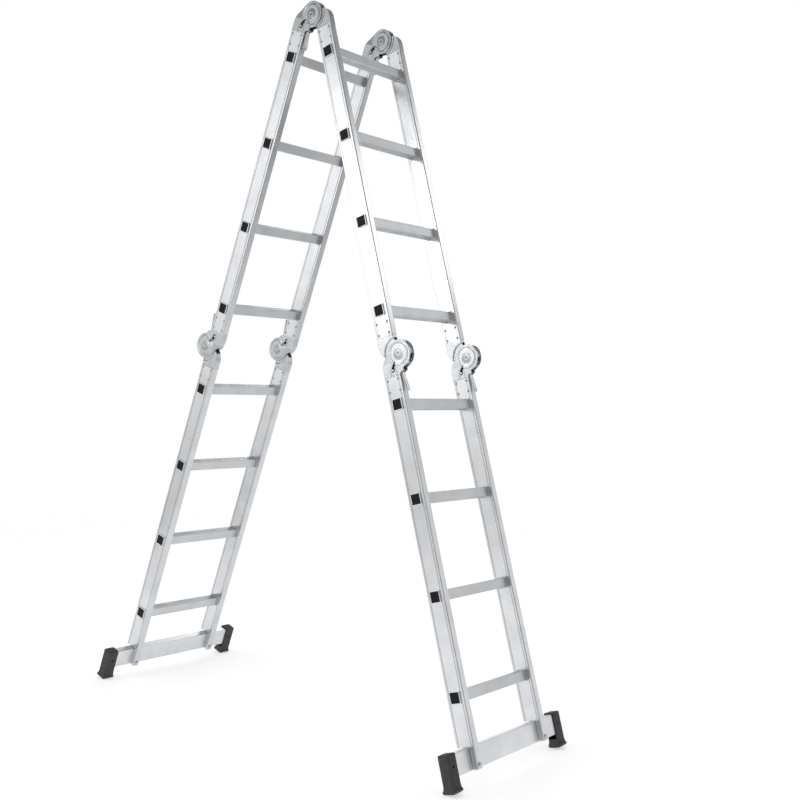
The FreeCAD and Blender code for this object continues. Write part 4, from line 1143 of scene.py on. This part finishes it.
def finger_plate(place, middle, pin):
    """A strip of sheet down from the pin, crowned across by a parabola, its end a half circle.
    Each ring is the strip's section at one distance from the pin."""
    inner = LEVER_GAP - PIVOT_OFFSET - pin[0]
    last = LEVER_LENGTH - LEVER_HALF
    turn = np.linspace(0, math.pi / 2 - TIP_BLUNT, TIP_ROWS)[1:]
    down = np.concatenate([
        np.linspace(LEVER_START, last, STRIP_ROWS), last + LEVER_HALF * np.sin(turn)])
    half = np.concatenate([np.full(STRIP_ROWS, LEVER_HALF), LEVER_HALF * np.cos(turn)])
    across = np.linspace(-1, 1, STRIP_POINTS)
    turned_out = TURN_OUT * smooth_step(down, last - TURN_LENGTH, LEVER_LENGTH)[:, None]
    crown = CROWN * (1 - across ** 2) + turned_out
    outside = inner + SHEET + crown - EDGE_DROP * smooth_step(np.abs(across), EDGE_START, 1)
    inside = inner + crown
    x = np.concatenate([across, across[::-1]]) * half[:, None]
    a = np.concatenate([outside, inside[:, ::-1]], axis=1)
    b = np.broadcast_to(down[:, None], a.shape)
    p = pin[0] + a * math.cos(LEVER_SWING) + b * math.sin(LEVER_SWING)
    q = pin[1] + b * math.cos(LEVER_SWING) - a * math.sin(LEVER_SWING)
    return skin(place(middle + x, p, q))


print("a finger plate is", LEVER_LENGTH - LEVER_START, "mm long")

# %% [markdown]
# ## Lock levers
#
# The lever's arm carries the lock bar in the slot, and a wire spring round the pin pushes the bar
# home. All of it turns together, so it rides on the latch's body: the pin's place comes from the
# joint, and the arm is a stroke through the bar, the pin and the finger plate's root.

# %% Levers
BAR_RADIUS, BAR_GAP, BAR_HALF, BAR_BEVEL = 4.0, 0.35, 12.0, 0.6
BAR_AT = (DISC_RADIUS + BAR_GAP + BAR_RADIUS) * LOCK_OUT
LEVER_PIN, PIN_BEVEL = 2.5, 0.5
# The arm's half widths at the bar, between bar and pin, at the pin and at the root.
ARM_HALVES, ARM_HALF_THICK = (6, 5, 5.5, 1.2), 3.0
ARM_SHARE = 0.6  # how near to the bar the arm's point between bar and pin is
ROOT_DOWN = 3  # how far past its start the finger plate is rooted
# The spring: where it starts along x, its radius, its wire's radius, its pitch and its turns.
COIL_START, COIL_RADIUS, COIL_WIRE, COIL_PITCH, COIL_TURNS = 3.2, 4.1, 0.6, 1.5, 3


def lock_lever(hinge, side_name, side):
    """The lever with its arm and finger plate, its lock bar, its pin and its spring."""
    section, upper_end = LEAVES[hinge]["cover"]
    place, find = hinge_frame(section, upper_end)
    middle = side * STILE_X
    body = f"{hinge}_{side_name}_latch"
    pin = np.array(find(axes[f"{hinge}_{side_name}_lever_turn"]))
    start = LEVER_START + ROOT_DOWN
    inner = LEVER_GAP - PIVOT_OFFSET - pin[0] + SHEET / 2
    root = pin + [
        inner * math.cos(LEVER_SWING) + start * math.sin(LEVER_SWING),
        start * math.cos(LEVER_SWING) - inner * math.sin(LEVER_SWING),
    ]
    arm_path = np.array([BAR_AT, ARM_SHARE * BAR_AT + (1 - ARM_SHARE) * pin, pin, root])
    arm = stroke(place, middle, arm_path, ARM_HALVES, ARM_HALF_THICK)
    add_piece(
        f"{hinge}_{side_name}_lever", [arm, finger_plate(place, middle, pin)], lever_finish, body,
        [f"{hinge}_{side_name}_lock_lever"],
    )
    bar = rod(place, middle, BAR_AT, bevelled(BAR_HALF, BAR_RADIUS, BAR_BEVEL))
    # The lock bar is near black: painted shade inside the slot it shows through.
    add_piece(f"{hinge}_{side_name}_lock_bar", [bar], black_finish, body)
    pin_rod = rod(place, middle, pin, bevelled(BAR_HALF, LEVER_PIN, PIN_BEVEL))
    coil = spring(place, middle + COIL_START, pin, COIL_RADIUS, COIL_WIRE, COIL_PITCH, COIL_TURNS)
    add_piece(f"{hinge}_{side_name}_lever_pin", [pin_rod, coil], pin_finish, body)
    return pin


for hinge in LEAVES:
    for side_name, side in SIDES.items():
        print(hinge, side_name, "lever pin at p, q =", lock_lever(hinge, side_name, side).round(2))

# %% [markdown]
# ## Hinge pins
#
# A hinge pin's two heads are turned: a wide ring, a raised round with a soft edge, and a shallow
# dimple where it was riveted over. One list of steps from the middle of a head outward is mirrored
# for the other head, and turned on the same lathe function.

# %% Hinge pins
HEAD_RADIUS, HEAD_HEIGHT, PIN_RADIUS, PIN_SIDES = 15.0, 2.2, 6.0, 48
# A head from its middle out to its rim and under it: how far below its highest face, and the radius.
HEAD_STEPS = [
    (0.9, 0.3), (0.8, 3.6), (0.1, 4.9), (0.0, 5.6), (0.0, 8.7), (0.2, 9.6), (0.9, 10.4),
    (1.0, 12.8), (1.2, 14.0), (1.7, 14.8), (HEAD_HEIGHT, HEAD_RADIUS), (HEAD_HEIGHT, PIN_RADIUS),
]
# Its painted shade: bands at the rim and at the step round its middle, and the whole dimple.
RIM_BAND, STEP_BAND, DIMPLE_RADIUS, DIMPLE_SHADE = (15, 2.2, 0.8), (10.2, 1.4, 0.75), 4.4, 0.7
# The body that each hinge's pins ride on, and the nodes that they replace. The rear upper section
# has the pins of two hinges in one node, so the top pair replaces it for both.
PINNED = {
    "top": ("rear_upper", ["rear_upper_hinge_pins"]),
    "rear": ("rear_upper", []),
    "front": ("front_lower", ["front_lower_hinge_pins"]),
}


def two_headed(steps, top):
    """A profile across x from the middle of one head to the middle of the other."""
    left = [(down - top, radius) for down, radius in steps]
    return left + [(-x, radius) for x, radius in left[::-1]]


def head_shade(p, q):
    """Painted shade on a pin's head: its rim, the step round its middle and its dimple."""
    r = np.hypot(p, q)
    dimple = DIMPLE_SHADE * (r < DIMPLE_RADIUS)
    return np.maximum.reduce([band(r, *RIM_BAND), band(r, *STEP_BAND), dimple])


for hinge, (body, replaced) in PINNED.items():
    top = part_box(f"{body}_hinge_pins")[1].x / MM - STILE_X
    place, find = hinge_frame(*LEAVES[hinge]["cover"])
    profile = two_headed(HEAD_STEPS, top)
    shells = [rod(place, side * STILE_X, (0, 0), profile, PIN_SIDES) for side in SIDES.values()]
    piece = add_piece(f"{hinge}_turned_pins", shells, pin_finish, body, replaced)
    # Painted shade on the pins' heads, in their steps and dimple.
    paint_shade(piece, find, head_shade, *SHADE_LEVELS[hinge])
    print(hinge, "pins stand", round(top, 2), "mm from the stile's middle")

# %% [markdown]
# ## Blind rivets
#
# The leaves are held in the stiles by blind rivets, four to a leaf, whose domed heads keep the hole
# of the snapped mandrel. They are small turned pieces with two heads, as the pins are, so the same
# functions make them. They stand in two rows across each leaf's tongue.

# %% Rivets
RIVET_ROWS, RIVET_SPREAD, RIVET_TOP, RIVET_SIDES = (70.0, 104.0), 20.0, 13.6, 20
# A head from its middle out, as for the pins: the mandrel's hole comes first.
RIVET_STEPS = [
    (1.3, 0.3), (1.3, 1.3), (0.3, 1.5), (0.0, 2.2), (0.3, 3.2), (0.9, 4.1), (1.6, 4.5), (1.6, 2.4)]
for section in bodies:
    if f"{section}_leaf_rivets" not in nodes:
        continue
    ends = [leaf for pair in LEAVES.values() for leaf in pair.values() if leaf[0] == section]
    shells = [
        rod(hinge_frame(*end)[0], side * STILE_X, (BACK + STILE_DEPTH / 2 + across, row),
            two_headed(RIVET_STEPS, RIVET_TOP), RIVET_SIDES)
        for end in ends for side in SIDES.values() for row in RIVET_ROWS
        for across in (-RIVET_SPREAD, RIVET_SPREAD)
    ]
    add_piece(
        f"{section}_blind_rivets", shells, rivet_finish, section,
        [f"{section}_leaf_rivets"],
    )
    print(section, len(shells), "rivets")

# %% [markdown]
# ## Bar bolts and foot screws
#
# A bolt holds each stile's strip to the bar, through a washer, with a nut behind. A small black
# screw holds each foot. All of them point along n, so their places are turned: the distance from
# the stile's middle towards -Y comes first, then x and s. A nut is the same turned piece with only
# six sides.

# %% Fasteners
BOLT_S, SCREW_S, SCREW_X = 2294.0, 2275.0, 272.5
BOLT_SIDES, NUT_SIDES, SCREW_SIDES = 32, 6, 20
# Distances towards -Y and radii: the bolt's shank and domed head, its nut, its washer, and a screw.
SHANK = [(-20.5, 3.4), (-20, 4.0), (31, 4.0), (31.5, 3.4)]
HEAD = [(30, 7.5), (31.4, 7.4), (32.8, 6.6), (33.7, 5.0), (34, 3.0), (34, 0.5)]
NUT = [(-19, 6.6), (-18.5, 7.5), (-13.5, 7.5), (-13, 7.2)]
WASHER = [(13, 8.0), (14, 8.0)]
SCREW = [
    (12, 1.8), (17.5, 1.8), (17.5, 3.5), (18.2, 3.4), (18.8, 2.7), (19, 1.5), (18.2, 1.2), (18.2, 0.3)]


def towards_front(out):
    """Places for a turned piece along n: towards -Y from the stile's middle, x, and s."""
    def place(front, x, s):
        return from_leg(out, x, STILE_MIDDLE - out * front, s)
    return place


for leg, out in OUT.items():
    place = towards_front(out)
    bolts, screws = [], []
    for side in SIDES.values():
        centre = (side * STILE_X, BOLT_S)
        bolts += [rod(place, 0, centre, profile, BOLT_SIDES) for profile in (SHANK, HEAD, WASHER)]
        bolts.append(rod(place, 0, centre, NUT, NUT_SIDES))
        screws.append(rod(place, 0, (side * SCREW_X, SCREW_S), SCREW, SCREW_SIDES))
    add_piece(
        f"{leg}_bar_bolts", bolts, pin_finish, f"{leg}_lower",
        [f"{leg}_bar_fasteners"],
    )
    add_piece(f"{leg}_foot_screws", screws, black_finish, f"{leg}_lower")
    print(leg, len(bolts), "bolt pieces and", len(screws), "foot screws")

# %% [markdown]
# ## Rung plugs
#
# Each rung's end is shut by a moulded plug: a square face with rounded edges, sunk inside its rim,
# with a round gate mark in the middle and a skirt that grips inside the rung. It could be a cube
# with bevels, but a set of rounded squares of changing size, carried outward along x, gives the
# sunk face and the gate mark too.

# %% Plugs
SKIRT_HALF, FACE_HALF, FACE_THICK, FACE_CORNER = 13.3, 15.2, 1.4, 2.5
# How far out each rounded square is, and its half side.
PLUG_STEPS = [
    (-12, SKIRT_HALF - 0.6), (-11, SKIRT_HALF), (0, SKIRT_HALF), (0, FACE_HALF), (0.8, FACE_HALF),
    (1.2, FACE_HALF - 0.2), (FACE_THICK, FACE_HALF - 0.8), (FACE_THICK, FACE_HALF - 2.4),
    (1.2, FACE_HALF - 2.9), (0.5, FACE_HALF - 3.4), (0.4, 8.0), (0.4, 5.2), (1.1, 4.8), (1.1, 3.2),
    (0.5, 2.8), (0.5, 1.0),
]


def rounded_rectangle(half_a, half_b, corner, count=32):
    """Points round a rectangle with round corners: each quarter turn of a circle, pushed out to
    its own corner."""
    turns = (np.arange(count) + 0.5) * 2 * math.pi / count
    a = np.sign(np.cos(turns)) * (half_a - corner) + corner * np.cos(turns)
    b = np.sign(np.sin(turns)) * (half_b - corner) + corner * np.sin(turns)
    return a, b


def plug(out, side, end_x, n, s):
    """One plug, on the outer end of a rung: a rounded square for each step."""
    rings = []
    for outward, half in PLUG_STEPS:
        across, along = rounded_rectangle(half, half, min(FACE_CORNER, half))
        x = np.full(across.shape, side * (end_x + outward))
        rings.append(from_leg(out, x, n + across, s + along))
    return skin(np.array(rings))


print("a plug's face is", 2 * FACE_HALF, "mm square")

# %% [markdown]
# ## Flared rung ends
#
# A rung is fixed by pressing its ends out over the stile, which leaves a bright rounded ring round
# each plug. The ring is closed on itself, out from the stile and back in again, so its rounded
# squares form a closed loop.

# %% Flared ends
# How far from the stile each rounded square is, and its half side.
FLARE_STEPS = [
    (0.05, 18.4), (2.2, 18.4), (3.0, 18.1), (3.4, 17.5), (3.5, 16.8), (3.5, 16.0), (3.3, 15.5),
    (2.6, 15.3), (0.05, 15.3),
]
FLARE_CORNER = 5.0


def flared_end(out, side, n, s):
    """The ring that the rung's end makes over the stile, round the plug."""
    rings = []
    for outward, half in FLARE_STEPS:
        across, along = rounded_rectangle(half, half, FLARE_CORNER + half - FLARE_STEPS[0][1])
        x = np.full(across.shape, side * (STILE_X + STILE_HALF + outward))
        rings.append(from_leg(out, x, n + across, s + along))
    return skin(np.array(rings), closed=True)


def in_leg(node):
    """The lowest and highest n and s of a construction node."""
    mesh = nodes[node].data
    places = np.empty(len(mesh.vertices) * 3)
    mesh.vertices.foreach_get("co", places)
    n, s = to_leg(OUT[node.split("_")[0]], places.reshape(-1, 3).T)
    return (n.min(), n.max()), (s.min(), s.max())


for section in ("front_upper", "front_lower", "rear_upper", "rear_lower"):
    out = OUT[section.split("_")[0]]
    plugs, flares = [], []
    for number in range(1, 5):
        rung = f"{section}_rung_{number}"
        (n_low, n_high), (s_low, s_high) = in_leg(rung)
        n, s, end_x = (n_low + n_high) / 2, (s_low + s_high) / 2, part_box(rung)[1].x / MM
        plugs += [plug(out, side, end_x, n, s) for side in SIDES.values()]
        flares += [flared_end(out, side, n, s) for side in SIDES.values()]
    add_piece(f"{section}_flared_rung_ends", flares, flare_finish, section)
    piece = add_piece(
        f"{section}_moulded_plugs", plugs, plug_finish, section,
        [f"{section}_rung_plugs"],
    )
    print(piece.name, len(piece.data.polygons), "faces")

# %% [markdown]
# ## The sole
#
# Each end of the bar wears a rubber boot. Its sole is round from front to back, so the ladder
# stands on it at any lean, with a flat worn where it meets the floor. The round is a circle about
# a line across X and the flat is the floor's own plane. The sole is whichever of them comes first
# on the way down the leg.

# %% The sole
(BAR_INNER, BAR_OUTER), (BAR_TOP, BAR_BOTTOM) = in_leg("front_stabiliser_bar")
BAR_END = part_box("front_stabiliser_bar")[1].x / MM
SOLE_DROP, SOLE_RADIUS = 42.0, 30.0


def sole(n, centre_n):
    """How far down the leg the sole is: a round about its centre, cut off by the floor at z = 0."""
    bulge = np.sqrt(SOLE_RADIUS ** 2 - (n - centre_n) ** 2)
    round_sole = BAR_BOTTOM + SOLE_DROP - SOLE_RADIUS + bulge
    floor = (TOP_AXIS / MM + n * math.sin(LEAN)) / math.cos(LEAN)
    return np.minimum(round_sole, floor)


print("the bars are", round(2 * BAR_END, 2), "mm long")

# %% [markdown]
# ## Rubber feet
#
# The boot is stretched over the bar's end, so it has soft edges everywhere, and it flares out over
# its last centimetres to the sole. It is made of rounded rectangles carried down the leg, the last
# ones bent to the sole, and its socket is cut out from the inner side.

# %% Feet
BOOT_WALL, BOOT_LENGTH, BOOT_EDGE, BOOT_TOP_EDGE, BOOT_POINTS = 4.5, 40.0, 5.0, 4.0, 48
# The flare: how far down it starts, how wide it gets, how late, and its share along X.
FLARE_DROP, BOOT_FLARE, FLARE_POWER, FLARE_ALONG_X = 15.8, 5.0, 1.8, 0.3
SIDE_START = 12  # how far below the top the straight sides start
SOLE_LIFT = 1.2  # how far above the sole the flare ends
# The soft lower edge and the sole: each ring's share of the flare's last one, and its lift.
SOLE_STEPS = ((0.99, 0.5), (0.96, 0.1), (0.9, 0), (0.7, 0), (0.45, 0), (0.2, 0))
# The socket: its play round the bar, how much further down it goes, and its corners.
SOCKET_FIT, SOCKET_DEEPER, SOCKET_CORNER = 0.05, 14, 1.5


def boot_shell(out, centre_x, centre_n):
    """A boot: a quarter round at the top, straight sides, a flare that grows as a power of the way
    down it, a soft lower edge and the sole."""
    half_x, half_n = BOOT_LENGTH / 2, (BAR_OUTER - BAR_INNER) / 2 + BOOT_WALL
    top, waist = BAR_TOP - BOOT_WALL, BAR_BOTTOM + FLARE_DROP
    rings = []

    def ring(s, inset):
        """A level ring of the straight part, drawn in by the inset."""
        across, along = rounded_rectangle(
            half_x - inset, half_n - inset, BOOT_EDGE - inset / 2, BOOT_POINTS)
        rings.append((centre_x + across, centre_n + along, np.full(across.shape, s)))

    for a in np.linspace(math.pi / 2, 0, 6):
        ring(top + BOOT_TOP_EDGE * (1 - math.sin(a)), BOOT_TOP_EDGE * (1 - math.cos(a)))
    for s in np.linspace(top + SIDE_START, waist, 5):
        ring(s, 0)
    for share in np.linspace(0, 1, 9)[1:]:
        flare = BOOT_FLARE * share ** FLARE_POWER
        across, along = rounded_rectangle(
            half_x + FLARE_ALONG_X * flare, half_n + flare, BOOT_EDGE, BOOT_POINTS)
        n = centre_n + along
        bent = waist + share * (sole(n, centre_n) - SOLE_LIFT - waist)
        rings.append((centre_x + across, n, bent))
    for scale, lift in SOLE_STEPS:
        n = centre_n + along * scale
        rings.append((centre_x + across * scale, n, sole(n, centre_n) - lift))
    return skin(from_leg(out, *np.array(rings).transpose(1, 0, 2)))


def socket(out, side, centre_x, centre_n):
    """The hole for the bar: its section and a little more, from inside the boot to its wall."""
    across, along = rounded_rectangle(
        (BAR_OUTER - BAR_INNER) / 2 + SOCKET_FIT, (BAR_BOTTOM - BAR_TOP + SOCKET_DEEPER) / 2,
        SOCKET_CORNER)
    inner = centre_x - side * (BOOT_LENGTH / 2 + 2)
    outer = centre_x + side * (BOOT_LENGTH / 2 - BOOT_WALL)
    middle = (BAR_TOP + BAR_BOTTOM + SOCKET_DEEPER) / 2 - SOCKET_FIT
    return skin(from_leg(
        out, np.array([inner, outer])[:, None], centre_n + across[None], middle + along[None]))


for leg, out in OUT.items():
    for side_name, side in SIDES.items():
        centre = (side * (BAR_END + BOOT_WALL - BOOT_LENGTH / 2), (BAR_INNER + BAR_OUTER) / 2)
        shell = cut(boot_shell(out, *centre), socket(out, side, *centre))
        name = f"{leg}_{side_name}_foot"
        piece = add_piece(
            f"{name}_boot", [shell], foot_finish, f"{leg}_lower", [name])
        print(piece.name, len(piece.data.polygons), "faces")

# %% [markdown]
# ## The camera
#
# The ladder is seen from its front left corner, a little over half way up. A camera can be aimed
# with an Euler rotation, but three named turns are easier to read: the way it faces, how far it
# looks up, and how far it is rolled about its own line of sight.

# %% Camera
CAMERA_PLACE = (-2.7941, -2.4980, TOP_AXIS - 1.0737)
CAMERA_YAW, CAMERA_PITCH, CAMERA_ROLL = (math.radians(angle) for angle in (51.548, -0.490, 2.862))
LENS, SENSOR = 51.602, 36.0  # in millimetres
SHIFT = (0.0, -0.03514)  # as shares of the sensor's width


def camera_turn(yaw, pitch, roll):
    """The camera's right, up and back: turned by yaw from +Y, raised by pitch, then rolled."""
    ahead = np.array([math.sin(yaw), math.cos(yaw), 0])
    right = np.array([math.cos(yaw), -math.sin(yaw), 0])
    upward = np.array([0, 0, 1])
    level_up = upward * math.cos(pitch) - ahead * math.sin(pitch)
    forward = ahead * math.cos(pitch) + upward * math.sin(pitch)
    rolled_right = right * math.cos(roll) + level_up * math.sin(roll)
    rolled_up = level_up * math.cos(roll) - right * math.sin(roll)
    return np.column_stack([rolled_right, rolled_up, -forward])


scene = bpy.context.scene
camera_data = bpy.data.cameras.new("camera")
camera_data.lens, camera_data.sensor_width = LENS, SENSOR
camera_data.shift_x, camera_data.shift_y = SHIFT
camera = bpy.data.objects.new("camera", camera_data)
scene.collection.objects.link(camera)
turned = Matrix(camera_turn(CAMERA_YAW, CAMERA_PITCH, CAMERA_ROLL).tolist()).to_4x4()
camera.matrix_world = Matrix.Translation(CAMERA_PLACE) @ turned
scene.camera = camera
scene.view_settings.view_transform = "Standard"
print("the camera stands", round(math.hypot(*CAMERA_PLACE[:2]), 2), "m from the ladder's middle")

# %% [markdown]
# ## The room
#
# Bare metal shows what is round it, so the room is half of its finish. The camera sees plain white,
# and the ladder feels and mirrors something else: bands of light by height, from a pale floor past
# bright walls to a dim ceiling, and one unlit side behind the camera. Walls with lamps on them would
# do it too, but a ramp over the direction has no noise and takes a few numbers.

# %% Room
# How bright the room is by the height of the direction, from the floor (-1) to the ceiling (1).
ROOM_STEPS = [
    (-1.0, 0.8), (-0.6, 0.82), (-0.4, 0.6), (-0.2, 0.6), (-0.03, 0.85), (0.03, 1.05), (0.2, 1.0),
    (0.3, 0.8), (0.52, 0.75), (0.58, 0.35), (1.0, 0.3),
]
PEAK, WHITE = 1.4, hex_colour("FFFFFF")
# The unlit side of the room, behind the camera: which way it is, how near to it the room starts to
# dim and is fully dim (as cosines), and what is left of the light there.
DIM_SIDE, DIM_START, DIM_FULL, DIM_LEVEL = (-0.54, -0.84, 0.0), 0.55, 0.85, 0.4


def studio_world():
    """A room that the camera sees as white, and everything else as a ramp over the direction's
    height, times a dimming by its dot product with the unlit side."""
    room = bpy.data.worlds.new("white_room")
    room.use_nodes = True
    tree = room.node_tree
    tree.nodes.clear()
    direction = add_node(tree, "ShaderNodeTexCoord").outputs["Generated"]
    height = add_node(tree, "ShaderNodeSeparateXYZ", {"Vector": direction}).outputs["Z"]
    level = add_node(tree, "ShaderNodeMapRange", {"Value": height, "From Min": -1.0, "From Max": 1.0})
    ramp = add_node(tree, "ShaderNodeValToRGB", {"Fac": level.outputs["Result"]})
    elements = ramp.color_ramp.elements
    while len(elements) < len(ROOM_STEPS):
        elements.new(0.5)
    for element, (z, bright) in zip(elements, ROOM_STEPS):
        element.position, element.color = (z + 1) / 2, (*[bright / PEAK] * 3, 1)
    nearness = add_node(
        tree, "ShaderNodeVectorMath", {0: direction, 1: DIM_SIDE}, operation="DOT_PRODUCT")
    dimmed = add_node(
        tree, "ShaderNodeMapRange",
        {"Value": nearness.outputs["Value"], "From Min": DIM_START, "From Max": DIM_FULL,
         "To Min": PEAK, "To Max": PEAK * DIM_LEVEL},
        interpolation_type="SMOOTHSTEP",
    )
    felt = add_node(
        tree, "ShaderNodeBackground",
        {"Color": ramp.outputs["Color"], "Strength": dimmed.outputs["Result"]},
    )
    seen = add_node(tree, "ShaderNodeBackground", {"Color": WHITE, "Strength": 1.0})
    camera_ray = add_node(tree, "ShaderNodeLightPath").outputs["Is Camera Ray"]
    either = add_node(
        tree, "ShaderNodeMixShader", {0: camera_ray, 1: felt.outputs[0], 2: seen.outputs[0]})
    add_node(tree, "ShaderNodeOutputWorld", {"Surface": either.outputs[0]})
    return room


scene.world = studio_world()
print(scene.world.name, "has", len(ROOM_STEPS), "bands")

# %% [markdown]
# ## The lamps
#
# Big soft lamps to the left and behind light the sides of the stiles, which mirror them, while the
# faces across the leg mirror the dimmer right of the room, so the two read as different planes.
# Softboxes are area lamps here: their size sets how soft the shadows are, and their power grows
# with their face so that a lamp's brightness stays a plain number.

# %% Lamps
# Each lamp: where it stands, its width and height in metres, and how bright its face is.
LAMPS = {
    "left_rear_softbox": ((-4.3, 2.75, 2.2), (1.2, 1.6), 2.2),
    "left_softbox": ((-4.8, 1.2, 1.6), (1.0, 1.6), 2.2),
    "right_front_softbox": ((4.1, -2.7, 4.1), (1.3, 1.3), 1.5),
    "right_rear_softbox": ((4.0, 2.4, 3.3), (2.0, 2.0), 2.2),
    "overhead_softbox": ((-0.6, 0.0, 5.0), (1.8, 1.8), 3.0),
    "left_front_softbox": ((-4.4, -3.6, 3.6), (1.4, 1.4), 1.5),
}
AIM = Vector((0, 0, 1.1))  # the ladder's middle
for name, (place_at, (width, height), brightness) in LAMPS.items():
    lamp = bpy.data.lights.new(name, "AREA")
    lamp.shape, lamp.size, lamp.size_y = "RECTANGLE", width, height
    lamp.energy = math.pi * width * height * brightness
    thing = bpy.data.objects.new(name, lamp)
    scene.collection.objects.link(thing)
    thing.location = place_at
    thing.rotation_euler = (AIM - thing.location).to_track_quat("-Z", "Y").to_euler()
    thing.visible_camera = False
print(len(LAMPS), "softboxes")

# %% [markdown]
# ## The floor
#
# The floor is matt white paint, which gives the feet a faint contact shadow and nothing else. It
# glows a little, so that it is as white as the room where no shadow falls, and it fades out with
# the distance from the middle, so no horizon shows. A flat disc and an alpha do that.

# %% Floor
FLOOR_RADIUS, FADE_START, FADE_END = 5.0, 1.6, 0.95  # the end as a share of the radius
FLOOR_GLOW = 0.48  # how bright it shines by itself


def floor_disc(radius, rings=24, around=96):
    """A flat disc: rings of growing radius about its middle."""
    turns = np.linspace(0, 2 * math.pi, around, endpoint=False)
    radii = np.linspace(0.01, radius, rings)[:, None]
    points = np.stack([radii * np.cos(turns), radii * np.sin(turns), 0 * radii * turns], -1)
    index = np.arange(rings * around).reshape(rings, around)
    inner, outer = index[:-1], index[1:]
    quads = np.stack([inner, outer, np.roll(outer, -1, 1), np.roll(inner, -1, 1)], -1)
    return points.reshape(-1, 3), quads.reshape(-1, 4).tolist() + [index[0].tolist()]


floor_material, floor_tree, floor_shader = new_material("matt_white_paint", roughness=0.9, ior=1.4)
floor_shader.inputs["Base Color"].default_value = hex_colour("F0F0F0")
floor_shader.inputs["Emission Color"].default_value = WHITE
floor_shader.inputs["Emission Strength"].default_value = FLOOR_GLOW
distance = add_node(
    floor_tree, "ShaderNodeVectorMath",
    {0: add_node(floor_tree, "ShaderNodeTexCoord").outputs["Object"]}, operation="LENGTH",
)
fade = add_node(
    floor_tree, "ShaderNodeMapRange",
    {"Value": distance.outputs["Value"], "From Min": FADE_START,
     "From Max": FLOOR_RADIUS * FADE_END, "To Min": 1.0, "To Max": 0.0},
    interpolation_type="SMOOTHSTEP",
)
floor_tree.links.new(fade.outputs["Result"], floor_shader.inputs["Alpha"])
floor_mesh = new_mesh("floor", [floor_disc(FLOOR_RADIUS)])
floor_mesh.materials.append(floor_material)
floor = bpy.data.objects.new("floor", floor_mesh)
scene.collection.objects.link(floor)
floor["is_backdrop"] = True
print("floor", FLOOR_RADIUS * 2, "m across")

# %% [markdown]
# ## Sizes
#
# The construction's box and the dressed ladder's box are printed side by side.

# %% Sizes, and the end
def corners(box):
    """A box's two corners as plain numbers."""
    return [[float(value) for value in corner] for corner in box]


{"cad": corners(cad_box), "visual": corners(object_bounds())}
print("construction", corners(cad_box), "dressed", corners(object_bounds()))
